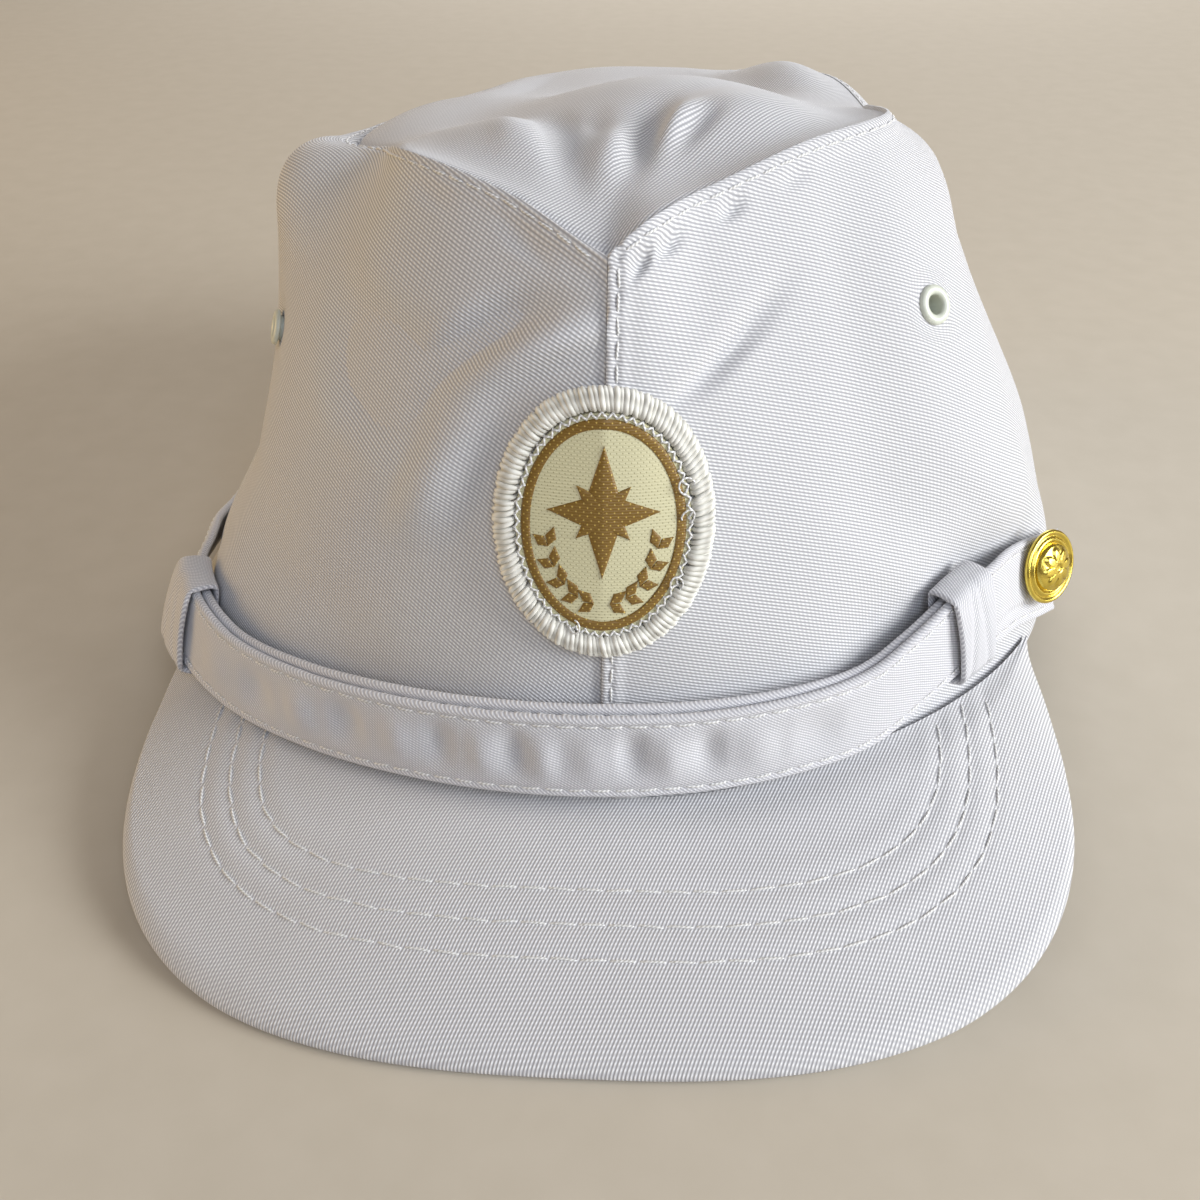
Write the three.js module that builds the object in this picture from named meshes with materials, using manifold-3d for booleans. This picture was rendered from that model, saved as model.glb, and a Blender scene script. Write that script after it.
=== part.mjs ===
// White cloth cap with a peak, a chin strap, side buttons, air eyelets and a sewn front patch.
// Millimetres, +Z up, the peak points to -Y. The cap rests on its rear hem and on the rim of its peak.
// Left and right are as seen by someone who faces the peak.
import * as THREE from 'three';
import Module from 'manifold-3d';

const wasm = await Module();
wasm.setup();
const { Manifold, Mesh } = wasm;

// Head ring: an oval of about 58 cm round, tipped back so that the peak meets the table.
const RING_HALF_WIDTH = 90.2;
const RING_FRONT = 94.1;
const RING_BACK = 95;
const TIP_BACK_DEG = 5;
const HEM_FLAT_RIGHT = { from: 95, at: 125 };
const HEM_FLAT_LEFT = { from: 58, at: 94 };

// Cloth: two layers of twill in the crown, and the room left between pieces.
const CLOTH = 1.6;
const GAP = 0.3;
const SEAM_IN = 0.5;
const SEAM_DOWN = 0.87;
const SEAM_STRETCH = 1.2;
const SEAM_PART = 0.86;
const HEM_PART = 0.06;
const FRONT_TURN_DEG = 8;
const LEAST_TURN = 0.75;
const PANEL_ANGLES = 36;
const PANEL_UPS = 13;

// Crown sections: degrees from the front, then radius and height of the low swell,
// of the high swell and of the seam with the top.
const SECTIONS_RIGHT = [
  { angle: 0, lowR: 93, lowZ: 27, highR: 86, highZ: 55, seamR: 77, seamZ: 80.5 },
  { angle: 4, lowR: 92.8, lowZ: 27, highR: 85.3, highZ: 55.7, seamR: 74.5, seamZ: 84.6 },
  { angle: 11, lowR: 92.5, lowZ: 27, highR: 84, highZ: 57, seamR: 67.5, seamZ: 87 },
  { angle: 27, lowR: 91.5, lowZ: 27, highR: 79.5, highZ: 60, seamR: 61.5, seamZ: 91.3 },
  { angle: 47, lowR: 92.5, lowZ: 28, highR: 79, highZ: 72, seamR: 56.5, seamZ: 92.2 },
  { angle: 66, lowR: 91.5, lowZ: 27.5, highR: 62, highZ: 86, seamR: 45.5, seamZ: 90 },
  { angle: 90, lowR: 84.5, lowZ: 24, highR: 55, highZ: 80, seamR: 44, seamZ: 87 },
  { angle: 120, lowR: 88, lowZ: 25, highR: 66, highZ: 84, seamR: 46, seamZ: 88.8 },
  { angle: 150, lowR: 92, lowZ: 28, highR: 75, highZ: 85, seamR: 55, seamZ: 86 },
  { angle: 180, lowR: 93, lowZ: 30, highR: 80, highZ: 85, seamR: 62, seamZ: 82.5 },
];
const SECTIONS_LEFT = [
  { angle: 0, lowR: 93, lowZ: 27, highR: 86, highZ: 55, seamR: 77, seamZ: 80.5 },
  { angle: 11, lowR: 92.5, lowZ: 27, highR: 84, highZ: 57, seamR: 70.5, seamZ: 86.5 },
  { angle: 27, lowR: 90, lowZ: 25, highR: 80.5, highZ: 60, seamR: 64.5, seamZ: 89.5 },
  { angle: 47, lowR: 86.5, lowZ: 22, highR: 71, highZ: 78, seamR: 50.5, seamZ: 85.5 },
  { angle: 66, lowR: 60, lowZ: 13, highR: 76.5, highZ: 97, seamR: 50.5, seamZ: 82.5 },
  { angle: 90, lowR: 64.5, lowZ: 9.5, highR: 66, highZ: 85, seamR: 47, seamZ: 81.5 },
  { angle: 120, lowR: 74, lowZ: 17, highR: 62, highZ: 83, seamR: 44, seamZ: 82 },
  { angle: 150, lowR: 90, lowZ: 26, highR: 74, highZ: 83, seamR: 53, seamZ: 81.5 },
  { angle: 180, lowR: 93, lowZ: 30, highR: 80, highZ: 85, seamR: 62, seamZ: 82.5 },
];

// Soft folds in the side panels: degrees from the front (left is minus), part of the height,
// half spans in degrees and in parts of the height, slant in degrees per part, and rise outwards.
const SIDE_FOLDS = [
  { angle: 55, up: 0.33, halfAngle: 9, halfUp: 0.3, slant: -60, rise: 1.6 },
  { angle: 40, up: 0.34, halfAngle: 10, halfUp: 0.26, slant: -60, rise: -1.6 },
  { angle: -24, up: 0.55, halfAngle: 9, halfUp: 0.3, slant: 40, rise: 1.2 },
  { angle: -118, up: 0.4, halfAngle: 12, halfUp: 0.35, slant: 30, rise: 2 },
  { angle: 112, up: 0.45, halfAngle: 12, halfUp: 0.35, slant: -30, rise: -2 },
  { angle: 150, up: 0.5, halfAngle: 11, halfUp: 0.4, slant: 25, rise: 2 },
  { angle: -67, up: 0.2, halfAngle: 30, halfUp: 0.2, slant: 0, rise: 6.2 },
  { angle: 42, up: 0.18, halfAngle: 21, halfUp: 0.2, slant: 0, rise: -4.7 },
  { angle: 56, up: 0.24, halfAngle: 9, halfUp: 0.14, slant: 0, rise: -0.6 },
  { angle: -42, up: 0.16, halfAngle: 20, halfUp: 0.16, slant: 0, rise: 2.4 },
  { angle: 68, up: 0.84, halfAngle: 26, halfUp: 0.15, slant: 0, rise: 3 },
  { angle: 68, up: 0.57, halfAngle: 24, halfUp: 0.2, slant: 0, rise: -1.6 },
  { angle: -62, up: 0.79, halfAngle: 22, halfUp: 0.14, slant: 0, rise: 1.4 },
  { angle: -56, up: 0.56, halfAngle: 22, halfUp: 0.16, slant: 0, rise: -1.2 },
];

// Top panel: height of its middle, how late it falls towards the seam, then its folds with centre,
// half length, half width, turn and rise.
const TOP_MID = 87.5;
const TOP_FULLNESS = 6;
const TOP_RINGS = 6;
const TOP_LAST_RING = 0.12;
const TOP_INSET = 1.3 * GAP;
const TOP_FOLDS = [
  { x: 9, y: -28, halfLong: 38, halfWide: 36, turn: 0, rise: 8 },
  { x: 32, y: 24, halfLong: 18, halfWide: 22, turn: 0, rise: 4.5 },
  { x: -24, y: 24, halfLong: 22, halfWide: 26, turn: 0, rise: -1.5 },
  { x: 16, y: -47, halfLong: 30, halfWide: 13, turn: 42, rise: 3.5 },
  { x: -16, y: -50, halfLong: 30, halfWide: 13, turn: 138, rise: 4 },
  { x: -8, y: -52, halfLong: 19, halfWide: 4.5, turn: 100, rise: -2.2 },
  { x: 4.6, y: -51, halfLong: 16, halfWide: 4, turn: 78, rise: -2.2 },
];

// Peak: half widths, where it is widest, reach in front of that, squareness, and its ends on the ring.
const PEAK_HALF_LEFT = 80.5;
const PEAK_HALF_RIGHT = 78.6;
const PEAK_WIDEST_Y = -70;
const PEAK_REACH = 61;
const PEAK_SQUARE_LEFT = 2.75;
const PEAK_SQUARE_RIGHT = 2.55;
const PEAK_SWEEP_DEG = 103;
const PEAK_END_DEG = 57;
const PEAK_THICK = 2.8;
const PEAK_EDGE = 2;
const PEAK_ABOVE_HEM = 0.6;
const PEAK_RIGHT_LIFT = 3.5;
const PEAK_ARCH = 1.5;
const PEAK_FLAT_PART = 0.35;
const PEAK_STATIONS = 40;
const PEAK_REACHES = [1, 0.965, 0.93, 0.78, 0.6, 0.4, 0.2, 0];
const PEAK_EDGE_PART = 0.93;

// Chin strap: two layers that lie on each other across the front. Rows follow the crown's hem:
// degrees from the front, radius of the face next to the crown, height of the middle, lean in degrees,
// and how far the inner layer stands above the outer one.
const STRAP_WIDE = 15;
const STRAP_THICK = 1.6;
const STRAP_STATIONS = 48;
const STRAP_ROWS = [
  { angle: -119, radius: 87.6, height: 4.4, lean: 27, slip: 0 },
  { angle: -100, radius: 85.3, height: 1.4, lean: 34, slip: 0 },
  { angle: -84, radius: 85.4, height: 1.6, lean: 32, slip: 0 },
  { angle: -70, radius: 87.2, height: 6.2, lean: 29, slip: 0 },
  { angle: -62, radius: 89.3, height: 9.3, lean: 31, slip: -0.2 },
  { angle: -54, radius: 93.3, height: 10.2, lean: 22, slip: -0.2 },
  { angle: -46, radius: 95.3, height: 9.5, lean: 12, slip: -0.1 },
  { angle: -40, radius: 95.4, height: 8.3, lean: 6.5, slip: 0 },
  { angle: -30, radius: 94.7, height: 8.5, lean: 2.5, slip: 0.4 },
  { angle: -20, radius: 94.5, height: 9.5, lean: 1, slip: 0.7 },
  { angle: -10, radius: 94.5, height: 10.3, lean: 1, slip: 0.8 },
  { angle: 0, radius: 94.6, height: 11, lean: 1, slip: 0.8 },
  { angle: 10, radius: 94.3, height: 11.4, lean: 0, slip: 0.6 },
  { angle: 20, radius: 93.8, height: 12.3, lean: 0, slip: 0.2 },
  { angle: 26, radius: 92.9, height: 13.2, lean: 2, slip: -0.2 },
  { angle: 32, radius: 91.2, height: 15.9, lean: 4, slip: -0.5 },
  { angle: 38, radius: 89.7, height: 18.3, lean: 7, slip: -0.6 },
  { angle: 43, radius: 89.2, height: 19.5, lean: 10, slip: -0.6 },
  { angle: 48, radius: 89.2, height: 19.3, lean: 14, slip: -0.6 },
  { angle: 53, radius: 90.3, height: 18.4, lean: 16, slip: -0.6 },
  { angle: 58, radius: 91.6, height: 16.9, lean: 14, slip: -0.6 },
  { angle: 66, radius: 94, height: 14.6, lean: 12, slip: -0.6 },
];
const STRAP_OUTER_FROM = -53;
const STRAP_OUTER_TO = 59.8;
const STRAP_INNER_FROM = -117.5;
const STRAP_INNER_TO = 41.8;
const STRAP_DROP_FROM = 43.5;
const STRAP_DROP_TO = 53;

// Keepers: cloth loops round both layers, with a soft crown and rounded edges.
const KEEPER_THICK = 1;
const KEEPER_BACK = 0.8;
const KEEPER_LOOSE = 0.5;
const KEEPER_CROWN = 0.5;
const KEEPER_ROUND = 0.8;
const KEEPER_STATIONS = 5;
const KEEPER_RIGHT = { from: 36.8, to: 42.6 };
const KEEPER_LEFT = { from: -54, to: -47.6 };

// Buttons: a domed face with a raised edge and a shank through the strap's end.
const BUTTON_R = 6.5;
const BUTTON_DOME = 3.2;
const BUTTON_EDGE = 1.2;
const SHANK_R = 1.8;
const SHANK_HOLE_R = 2.2;
const BUTTON_RIGHT = { angle: 55, across: 2.4, turn: -10 };
const BUTTON_LEFT = { angle: -112, across: 1, turn: 10 };
const BUTTON_STAND = 1.2;

// Eyelets: rolled rings that hold the edge of a hole in the crown.
const EYELET_R = 3.1;
const EYELET_BARREL_R = 2.1;
const EYELET_HOLE_R = 1.5;
const EYELET_RISE = 0.8;
const EYELET_RIGHT = { angle: 40.8, height: 68 };
const EYELET_LEFT = { angle: -57, height: 56 };
const SMALL_AROUND = 20;

// Patch: an upright oval on the front seam with a thick border of thread.
const PATCH_HEIGHT = 45.4;
const PATCH_HALF_WIDE = 12.6;
const PATCH_HALF_TALL = 16.2;
const PATCH_THICK = 1;
const BORDER_WIDE = 3.3;
const BORDER_THICK = 1.9;
const PATCH_STAND = 0.4;
const PATCH_SLOPE = 0.24;
const PATCH_AROUND = 32;
const PATCH_RINGS = [1, 0.75, 0.5, 0.25];
const BORDER_AROUND = 36;

const RAD = Math.PI / 180;
const v3 = (x, y, z) => new THREE.Vector3(x, y, z);
const step = (from, to, value) => {
  const t = Math.min(Math.max((value - from) / (to - from), 0), 1);
  return t * t * (3 - 2 * t);
};
const swell = (value) => {
  const v = Math.min(Math.abs(value), 1);
  return (1 - v * v) ** 2;
};
const outwards = (angle) => v3(Math.sin(angle * RAD), -Math.cos(angle * RAD), 0);

// Smooth curve through one column of a table; the last row ends level.
function follow(rows, key, angle) {
  const last = rows.length - 1;
  let i = 0;
  while (i < last - 1 && angle >= rows[i + 1].angle) i += 1;
  const slope = (k) => {
    if (k === last) return 0;
    const a = Math.max(k - 1, 0);
    return (rows[k + 1][key] - rows[a][key]) / (rows[k + 1].angle - rows[a].angle);
  };
  const span = rows[i + 1].angle - rows[i].angle;
  const t = (angle - rows[i].angle) / span;
  const a = (2 * t ** 3 - 3 * t ** 2 + 1) * rows[i][key] + (t ** 3 - 2 * t ** 2 + t) * span * slope(i);
  const b = (3 * t ** 2 - 2 * t ** 3) * rows[i + 1][key] + (t ** 3 - t ** 2) * span * slope(i + 1);
  return a + b;
}

function ringRadius(angle) {
  const s = Math.sin(angle * RAD);
  const c = Math.cos(angle * RAD);
  return 1 / Math.hypot(s / RING_HALF_WIDTH, c / (c >= 0 ? RING_FRONT : RING_BACK));
}

// Tips a point of the level cap back and stands it on the table.
const TIP = TIP_BACK_DEG * RAD;
function settle(p) {
  const y = p.y * Math.cos(TIP) + p.z * Math.sin(TIP);
  const z = p.z * Math.cos(TIP) - p.y * Math.sin(TIP) + RING_BACK * Math.sin(TIP);
  return v3(p.x, y, z);
}

function sectionPoint(angle, up) {
  const rows = angle < 0 ? SECTIONS_LEFT : SECTIONS_RIGHT;
  const turn = Math.abs(angle);
  const down = 1 - up;
  const w = [down ** 3, 3 * up * down * down, 3 * up * up * down, up ** 3];
  let radius = w[0] * ringRadius(angle) + w[1] * follow(rows, 'lowR', turn);
  radius += w[2] * follow(rows, 'highR', turn) + w[3] * follow(rows, 'seamR', turn);
  for (const f of SIDE_FOLDS) {
    const off = angle - f.angle - f.slant * (up - f.up);
    radius += f.rise * swell(off / f.halfAngle) * swell((up - f.up) / f.halfUp);
  }
  let height = w[1] * follow(rows, 'lowZ', turn) + w[2] * follow(rows, 'highZ', turn);
  height += w[3] * follow(rows, 'seamZ', turn);
  return { radius, height };
}

// A point of the crown's wall in the level cap: up is 0 at the hem and 1 at the top seam.
function wallLevel(angle, up) {
  const { radius, height } = sectionPoint(angle, up);
  return outwards(angle).multiplyScalar(radius).setZ(height);
}

// The same point on the table, where the rear hem sinks flat.
function wall(angle, up) {
  const p = settle(wallLevel(angle, up));
  const flat = angle < 0 ? HEM_FLAT_LEFT : HEM_FLAT_RIGHT;
  const sink = step(flat.from, flat.at, Math.abs(angle));
  p.z -= settle(wallLevel(angle, 0)).z * sink * (1 - up) ** 3;
  return p;
}

function wallNormal(angle, up) {
  const da = 0.2 * Math.sign(angle || 1);
  const du = up > 0.5 ? -0.004 : 0.004;
  const along = wall(angle + da, up).sub(wall(angle, up)).multiplyScalar(Math.sign(da));
  const rise = wall(angle, up + du).sub(wall(angle, up)).multiplyScalar(Math.sign(du));
  return along.cross(rise).normalize();
}

const tipDirection = (d) => settle(d).sub(settle(v3(0, 0, 0)));
const seamInward = (angle) => {
  const d = outwards(angle).multiplyScalar(-SEAM_IN).setZ(-SEAM_DOWN);
  return tipDirection(d).multiplyScalar(CLOTH * SEAM_STRETCH);
};

// From the outer face of a side panel to its inner face.
function clothInward(angle, up) {
  const n = wallNormal(angle, up);
  const front = step(FRONT_TURN_DEG, 0, Math.abs(angle));
  const middle = v3(0, n.y, n.z).normalize();
  const blend = n.clone().lerp(middle, front).normalize();
  const inward = blend.multiplyScalar(-CLOTH / Math.max(blend.dot(n), LEAST_TURN));
  if (Math.abs(angle) < 0.5) inward.x = 0;
  const hem = step(HEM_PART, 0, up);
  inward.z *= 1 - hem;
  return inward.lerp(seamInward(angle), step(SEAM_PART, 1, up));
}

function topPoint(angle, part) {
  const seam = wallLevel(angle, 1);
  const p = v3(seam.x * part, seam.y * part, TOP_MID + (seam.z - TOP_MID) * part ** TOP_FULLNESS);
  for (const f of TOP_FOLDS) {
    const c = Math.cos(f.turn * RAD);
    const s = Math.sin(f.turn * RAD);
    const long = (p.x - f.x) * c + (p.y - f.y) * s;
    const wide = (p.y - f.y) * c - (p.x - f.x) * s;
    p.z += f.rise * swell(long / f.halfLong) * swell(wide / f.halfWide) * (1 - part ** TOP_FULLNESS);
  }
  return settle(p);
}

function plainGeometry(positions, indices) {
  const g = new THREE.BufferGeometry();
  g.setAttribute('position', new THREE.Float32BufferAttribute(positions, 3));
  g.setIndex(indices);
  g.computeVertexNormals();
  return g;
}

// Bodies are kept as shared points and triangles.
class Body {
  constructor() {
    this.points = [];
    this.faces = [];
  }

  add(p) {
    this.points.push(p);
    return this.points.length - 1;
  }

  quad(a, b, c, d) {
    this.faces.push([a, b, c], [a, c, d]);
  }

  volume() {
    let six = 0;
    for (const [a, b, c] of this.faces) {
      six += this.points[a].dot(this.points[b].clone().cross(this.points[c]));
    }
    return six / 6;
  }

  faceOut() {
    if (this.volume() < 0) this.faces = this.faces.map(([a, b, c]) => [a, c, b]);
    return this;
  }

  geometry() {
    return plainGeometry(this.points.flatMap((p) => [p.x, p.y, p.z]), this.faces.flat());
  }
}

// A sheet with thickness from two matching grids; ring closes it in its second direction.
function slab(face, back, ring = false) {
  const body = new Body();
  const f = face.map((row) => row.map((p) => body.add(p)));
  const b = back.map((row) => row.map((p) => body.add(p)));
  const rows = f.length - 1;
  const cols = ring ? f[0].length : f[0].length - 1;
  const next = (j) => (ring ? (j + 1) % f[0].length : j + 1);
  for (let i = 0; i < rows; i += 1) {
    for (let j = 0; j < cols; j += 1) {
      body.quad(f[i][j], f[i + 1][j], f[i + 1][next(j)], f[i][next(j)]);
      body.quad(b[i][j], b[i][next(j)], b[i + 1][next(j)], b[i + 1][j]);
    }
    if (!ring) {
      body.quad(f[i][0], b[i][0], b[i + 1][0], f[i + 1][0]);
      body.quad(f[i][cols], f[i + 1][cols], b[i + 1][cols], b[i][cols]);
    }
  }
  for (let j = 0; j < cols; j += 1) {
    body.quad(f[0][j], f[0][next(j)], b[0][next(j)], b[0][j]);
    body.quad(f[rows][j], b[rows][j], b[rows][next(j)], f[rows][next(j)]);
  }
  return body.faceOut();
}

// A sheet that spans a closed edge: rings of points from the edge to a middle point.
function dished(face, back, faceMiddle, backMiddle) {
  const body = new Body();
  const add = (rings) => rings.map((ring) => ring.map((p) => body.add(p)));
  const f = add(face);
  const b = add(back);
  const n = face[0].length;
  const last = face.length - 1;
  const fm = body.add(faceMiddle);
  const bm = body.add(backMiddle);
  for (let j = 0; j < n; j += 1) {
    const k = (j + 1) % n;
    for (let i = 0; i < last; i += 1) {
      body.quad(f[i][j], f[i][k], f[i + 1][k], f[i + 1][j]);
      body.quad(b[i][j], b[i + 1][j], b[i + 1][k], b[i][k]);
    }
    body.faces.push([f[last][j], f[last][k], fm], [b[last][k], b[last][j], bm]);
    body.quad(f[0][j], b[0][j], b[0][k], f[0][k]);
  }
  return body.faceOut();
}

// A turned body about an axis: profile of radius and height, closed on itself or ending on the axis.
function turned(profile, around, place) {
  const body = new Body();
  const rings = profile.map(([r, h]) => {
    if (r === 0) return [body.add(place(0, 0, h))];
    return Array.from({ length: around }, (_, k) => {
      const a = (2 * Math.PI * k) / around;
      return body.add(place(r * Math.cos(a), r * Math.sin(a), h));
    });
  });
  const open = profile[0][0] === 0;
  const count = open ? rings.length - 1 : rings.length;
  for (let i = 0; i < count; i += 1) {
    const a = rings[i];
    const b = rings[(i + 1) % rings.length];
    for (let k = 0; k < around; k += 1) {
      const n = (k + 1) % around;
      if (a.length === 1) body.faces.push([a[0], b[k], b[n]]);
      else if (b.length === 1) body.faces.push([a[k], b[0], a[n]]);
      else body.quad(a[k], b[k], b[n], a[n]);
    }
  }
  return body.faceOut();
}

function toManifold(body) {
  const vertProperties = new Float32Array(body.points.flatMap((p) => [p.x, p.y, p.z]));
  const triVerts = new Uint32Array(body.faces.flat());
  return Manifold.ofMesh(new Mesh({ numProp: 3, vertProperties, triVerts }));
}

// Cuts tools out of a body and returns plain geometry.
function cutOut(body, tools) {
  let solid = toManifold(body);
  for (const tool of tools) solid = solid.subtract(toManifold(tool));
  const mesh = solid.getMesh();
  const flat = [];
  for (let i = 0; i < mesh.numVert; i += 1) {
    for (let k = 0; k < 3; k += 1) flat.push(mesh.vertProperties[i * mesh.numProp + k]);
  }
  return plainGeometry(flat, Array.from(mesh.triVerts));
}

const spread = (from, to, count) => {
  const stride = (to - from) / count;
  return Array.from({ length: count + 1 }, (_, i) => from + stride * i);
};

// Places x, y, h of a small turned body at a point, with h along the outward axis.
function placeAt(origin, axis) {
  const side = v3(0, 0, 1).cross(axis).normalize();
  const high = axis.clone().cross(side);
  return (x, y, h) => {
    const p = origin.clone().addScaledVector(side, x);
    return p.addScaledVector(high, y).addScaledVector(axis, h);
  };
}

// Height in the level cap to part of the wall's height.
function upAtHeight(angle, height) {
  let low = 0;
  let high = 0.85;
  for (let i = 0; i < 40; i += 1) {
    const mid = (low + high) / 2;
    if (sectionPoint(angle, mid).height < height) low = mid;
    else high = mid;
  }
  return (low + high) / 2;
}

function sidePanel(sign, tools) {
  const seamHalf = (GAP / 2 / RING_FRONT) / RAD;
  const ups = spread(0, 1, PANEL_UPS);
  const from = sign < 0 ? -180 + seamHalf : seamHalf;
  const to = sign < 0 ? -seamHalf : 180 - seamHalf;
  const angles = spread(from, to, PANEL_ANGLES);
  const apart = (p) => p.setX(sign * Math.max(sign * p.x, GAP / 2));
  const face = angles.map((a) => ups.map((u) => apart(wall(a, u))));
  const back = angles.map((a) => ups.map((u) => apart(wall(a, u).add(clothInward(a, u)))));
  return cutOut(slab(face, back), tools);
}

function topPanel() {
  const angles = spread(-180, 180, 2 * PANEL_ANGLES).slice(0, -1);
  const parts = spread(1, TOP_LAST_RING, TOP_RINGS);
  const inset = (a, part) => part * (1 - TOP_INSET / wallLevel(a, 1).setZ(0).length());
  const below = tipDirection(v3(0, 0, -CLOTH));
  const face = parts.map((q) => angles.map((a) => topPoint(a, inset(a, q))));
  const back = parts.map((q) => angles.map((a) => {
    const inward = below.clone().lerp(seamInward(a), step(SEAM_PART, 1, q));
    return topPoint(a, inset(a, q)).add(inward);
  }));
  const middle = topPoint(0, 0);
  return dished(face, back, middle, middle.clone().add(below)).geometry();
}

function peakRim(part) {
  const turn = part * PEAK_SWEEP_DEG * RAD;
  const half = part < 0 ? PEAK_HALF_LEFT : PEAK_HALF_RIGHT;
  const square = part < 0 ? PEAK_SQUARE_LEFT : PEAK_SQUARE_RIGHT;
  const bend = (value) => Math.sign(value) * Math.abs(value) ** (2 / square);
  const x = half * bend(Math.sin(turn));
  const y = PEAK_WIDEST_Y - PEAK_REACH * bend(Math.cos(turn));
  const p = settle(v3(x, y, -(PEAK_REACH / 3)));
  const root = settle(wallLevel(PEAK_END_DEG, 0)).z - PEAK_THICK + PEAK_ABOVE_HEM;
  const lift = Math.max((Math.abs(part) - PEAK_FLAT_PART) / (1 - PEAK_FLAT_PART), 0) ** 1.4;
  return p.setZ(root * lift + PEAK_EDGE);
}

function peakPoint(part, reach) {
  const hem = wallLevel(part * PEAK_END_DEG, 0);
  hem.addScaledVector(outwards(part * PEAK_END_DEG), GAP);
  hem.setZ(PEAK_ABOVE_HEM + PEAK_RIGHT_LIFT * step(0.1, 0.6, part));
  const p = settle(hem).lerp(peakRim(part), reach);
  p.z += PEAK_ARCH * 4 * reach * (1 - reach) * (1 - part * part);
  p.z += (PEAK_THICK - PEAK_EDGE) * step(1, PEAK_EDGE_PART, reach) * step(0, 0.2, reach);
  return p;
}

function peak() {
  const parts = spread(-1, 1, PEAK_STATIONS);
  const face = parts.map((s) => PEAK_REACHES.map((q) => peakPoint(s, q)));
  const back = parts.map((s) => PEAK_REACHES.map((q) => {
    const thick = PEAK_EDGE + (PEAK_THICK - PEAK_EDGE) * step(1, PEAK_EDGE_PART, q);
    const p = peakPoint(s, q);
    return p.setZ(p.z - thick);
  }));
  return slab(face, back).geometry();
}

// A point of the strap: across is the place over its width, depth the distance out from its path.
function strapPoint(angle, across, depth) {
  const at = (a) => {
    const p = outwards(a).multiplyScalar(follow(STRAP_ROWS, 'radius', a));
    return p.setZ(follow(STRAP_ROWS, 'height', a));
  };
  const along = at(angle + 0.5).sub(at(angle - 0.5)).normalize();
  const lean = follow(STRAP_ROWS, 'lean', angle) * RAD;
  const high = outwards(angle).multiplyScalar(-Math.sin(lean)).setZ(Math.cos(lean));
  high.addScaledVector(along, -high.dot(along)).normalize();
  const out = along.clone().cross(high).normalize();
  return settle(at(angle).addScaledVector(high, across).addScaledVector(out, depth));
}

function strapAxis(angle) {
  return strapPoint(angle, 0, 1).sub(strapPoint(angle, 0, 0)).normalize();
}

const outerDepth = (angle) => (STRAP_THICK + GAP) * step(STRAP_DROP_TO, STRAP_DROP_FROM, angle);
const innerSlip = (angle) => follow(STRAP_ROWS, 'slip', angle);

function strap({ from, to, depthAt, slipAt }, tool) {
  const angles = spread(from, to, STRAP_STATIONS);
  const edges = [-STRAP_WIDE / 2, STRAP_WIDE / 2];
  const point = (a, w, out) => strapPoint(a, w + slipAt(a), depthAt(a) + out);
  const sheet = (out) => angles.map((a) => edges.map((w) => point(a, w, out)));
  return cutOut(slab(sheet(STRAP_THICK), sheet(0)), [tool]);
}

// A keeper from the sections of its hole and its outside, as pairs of depth and place across the strap.
function keeper({ from, to }) {
  const slip = innerSlip((from + to) / 2);
  const low = Math.min(slip, 0) - STRAP_WIDE / 2 - GAP;
  const high = Math.max(slip, 0) + STRAP_WIDE / 2 + GAP;
  const near = -GAP;
  const far = 2 * STRAP_THICK + GAP + KEEPER_LOOSE;
  const t = KEEPER_THICK;
  const r = KEEPER_ROUND;
  const behind = near - KEEPER_BACK / 2;
  const hole = [
    [far, low + r], [far + KEEPER_CROWN, 0], [far, high - r], [far - r, high],
    [near, high], [near, 0], [near, low], [far - r, low],
  ];
  const loop = [
    [far + t, low + r], [far + t + KEEPER_CROWN, 0], [far + t, high - r], [far - r, high + t],
    [behind, high + t * r], [near - KEEPER_BACK, 0], [behind, low - t * r], [far - r, low - t],
  ];
  const stations = spread(from, to, KEEPER_STATIONS);
  const section = (points, a) => points.map(([depth, across]) => strapPoint(a, across, depth));
  const ring = (points) => stations.map((a) => section(points, a));
  return slab(ring(loop), ring(hole), true).geometry();
}

// Buttons turn a little on their shanks.
function buttonPlace({ angle, across, turn }) {
  const origin = strapPoint(angle, across, 0);
  const hinge = strapPoint(angle, across + 1, 0).sub(origin).normalize();
  return placeAt(origin, strapAxis(angle).applyAxisAngle(hinge, turn * RAD));
}

function button(spot) {
  const r = BUTTON_R;
  const seat = STRAP_THICK + GAP + BUTTON_STAND;
  const rim = seat + BUTTON_EDGE;
  const profile = [
    [0, 0.2], [SHANK_R, 0.2], [SHANK_R, seat], [r - 0.9, seat], [r, seat + 0.45], [r, rim - 0.3],
    [r - 0.35, rim], [r - 1, rim], [r - 1.35, rim - 0.35], [r * 0.62, seat + BUTTON_DOME * 0.66],
    [r * 0.33, seat + BUTTON_DOME * 0.92], [0, seat + BUTTON_DOME],
  ];
  return turned(profile, SMALL_AROUND, buttonPlace(spot)).geometry();
}

function shankHole(spot) {
  const low = -STRAP_THICK;
  const high = 2 * STRAP_THICK;
  const profile = [[0, low], [SHANK_HOLE_R, low], [SHANK_HOLE_R, high], [0, high]];
  return turned(profile, SMALL_AROUND, buttonPlace(spot));
}

function eyeletPlace({ angle, height }) {
  const up = upAtHeight(angle, height);
  return placeAt(wall(angle, up), wallNormal(angle, up));
}

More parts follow.
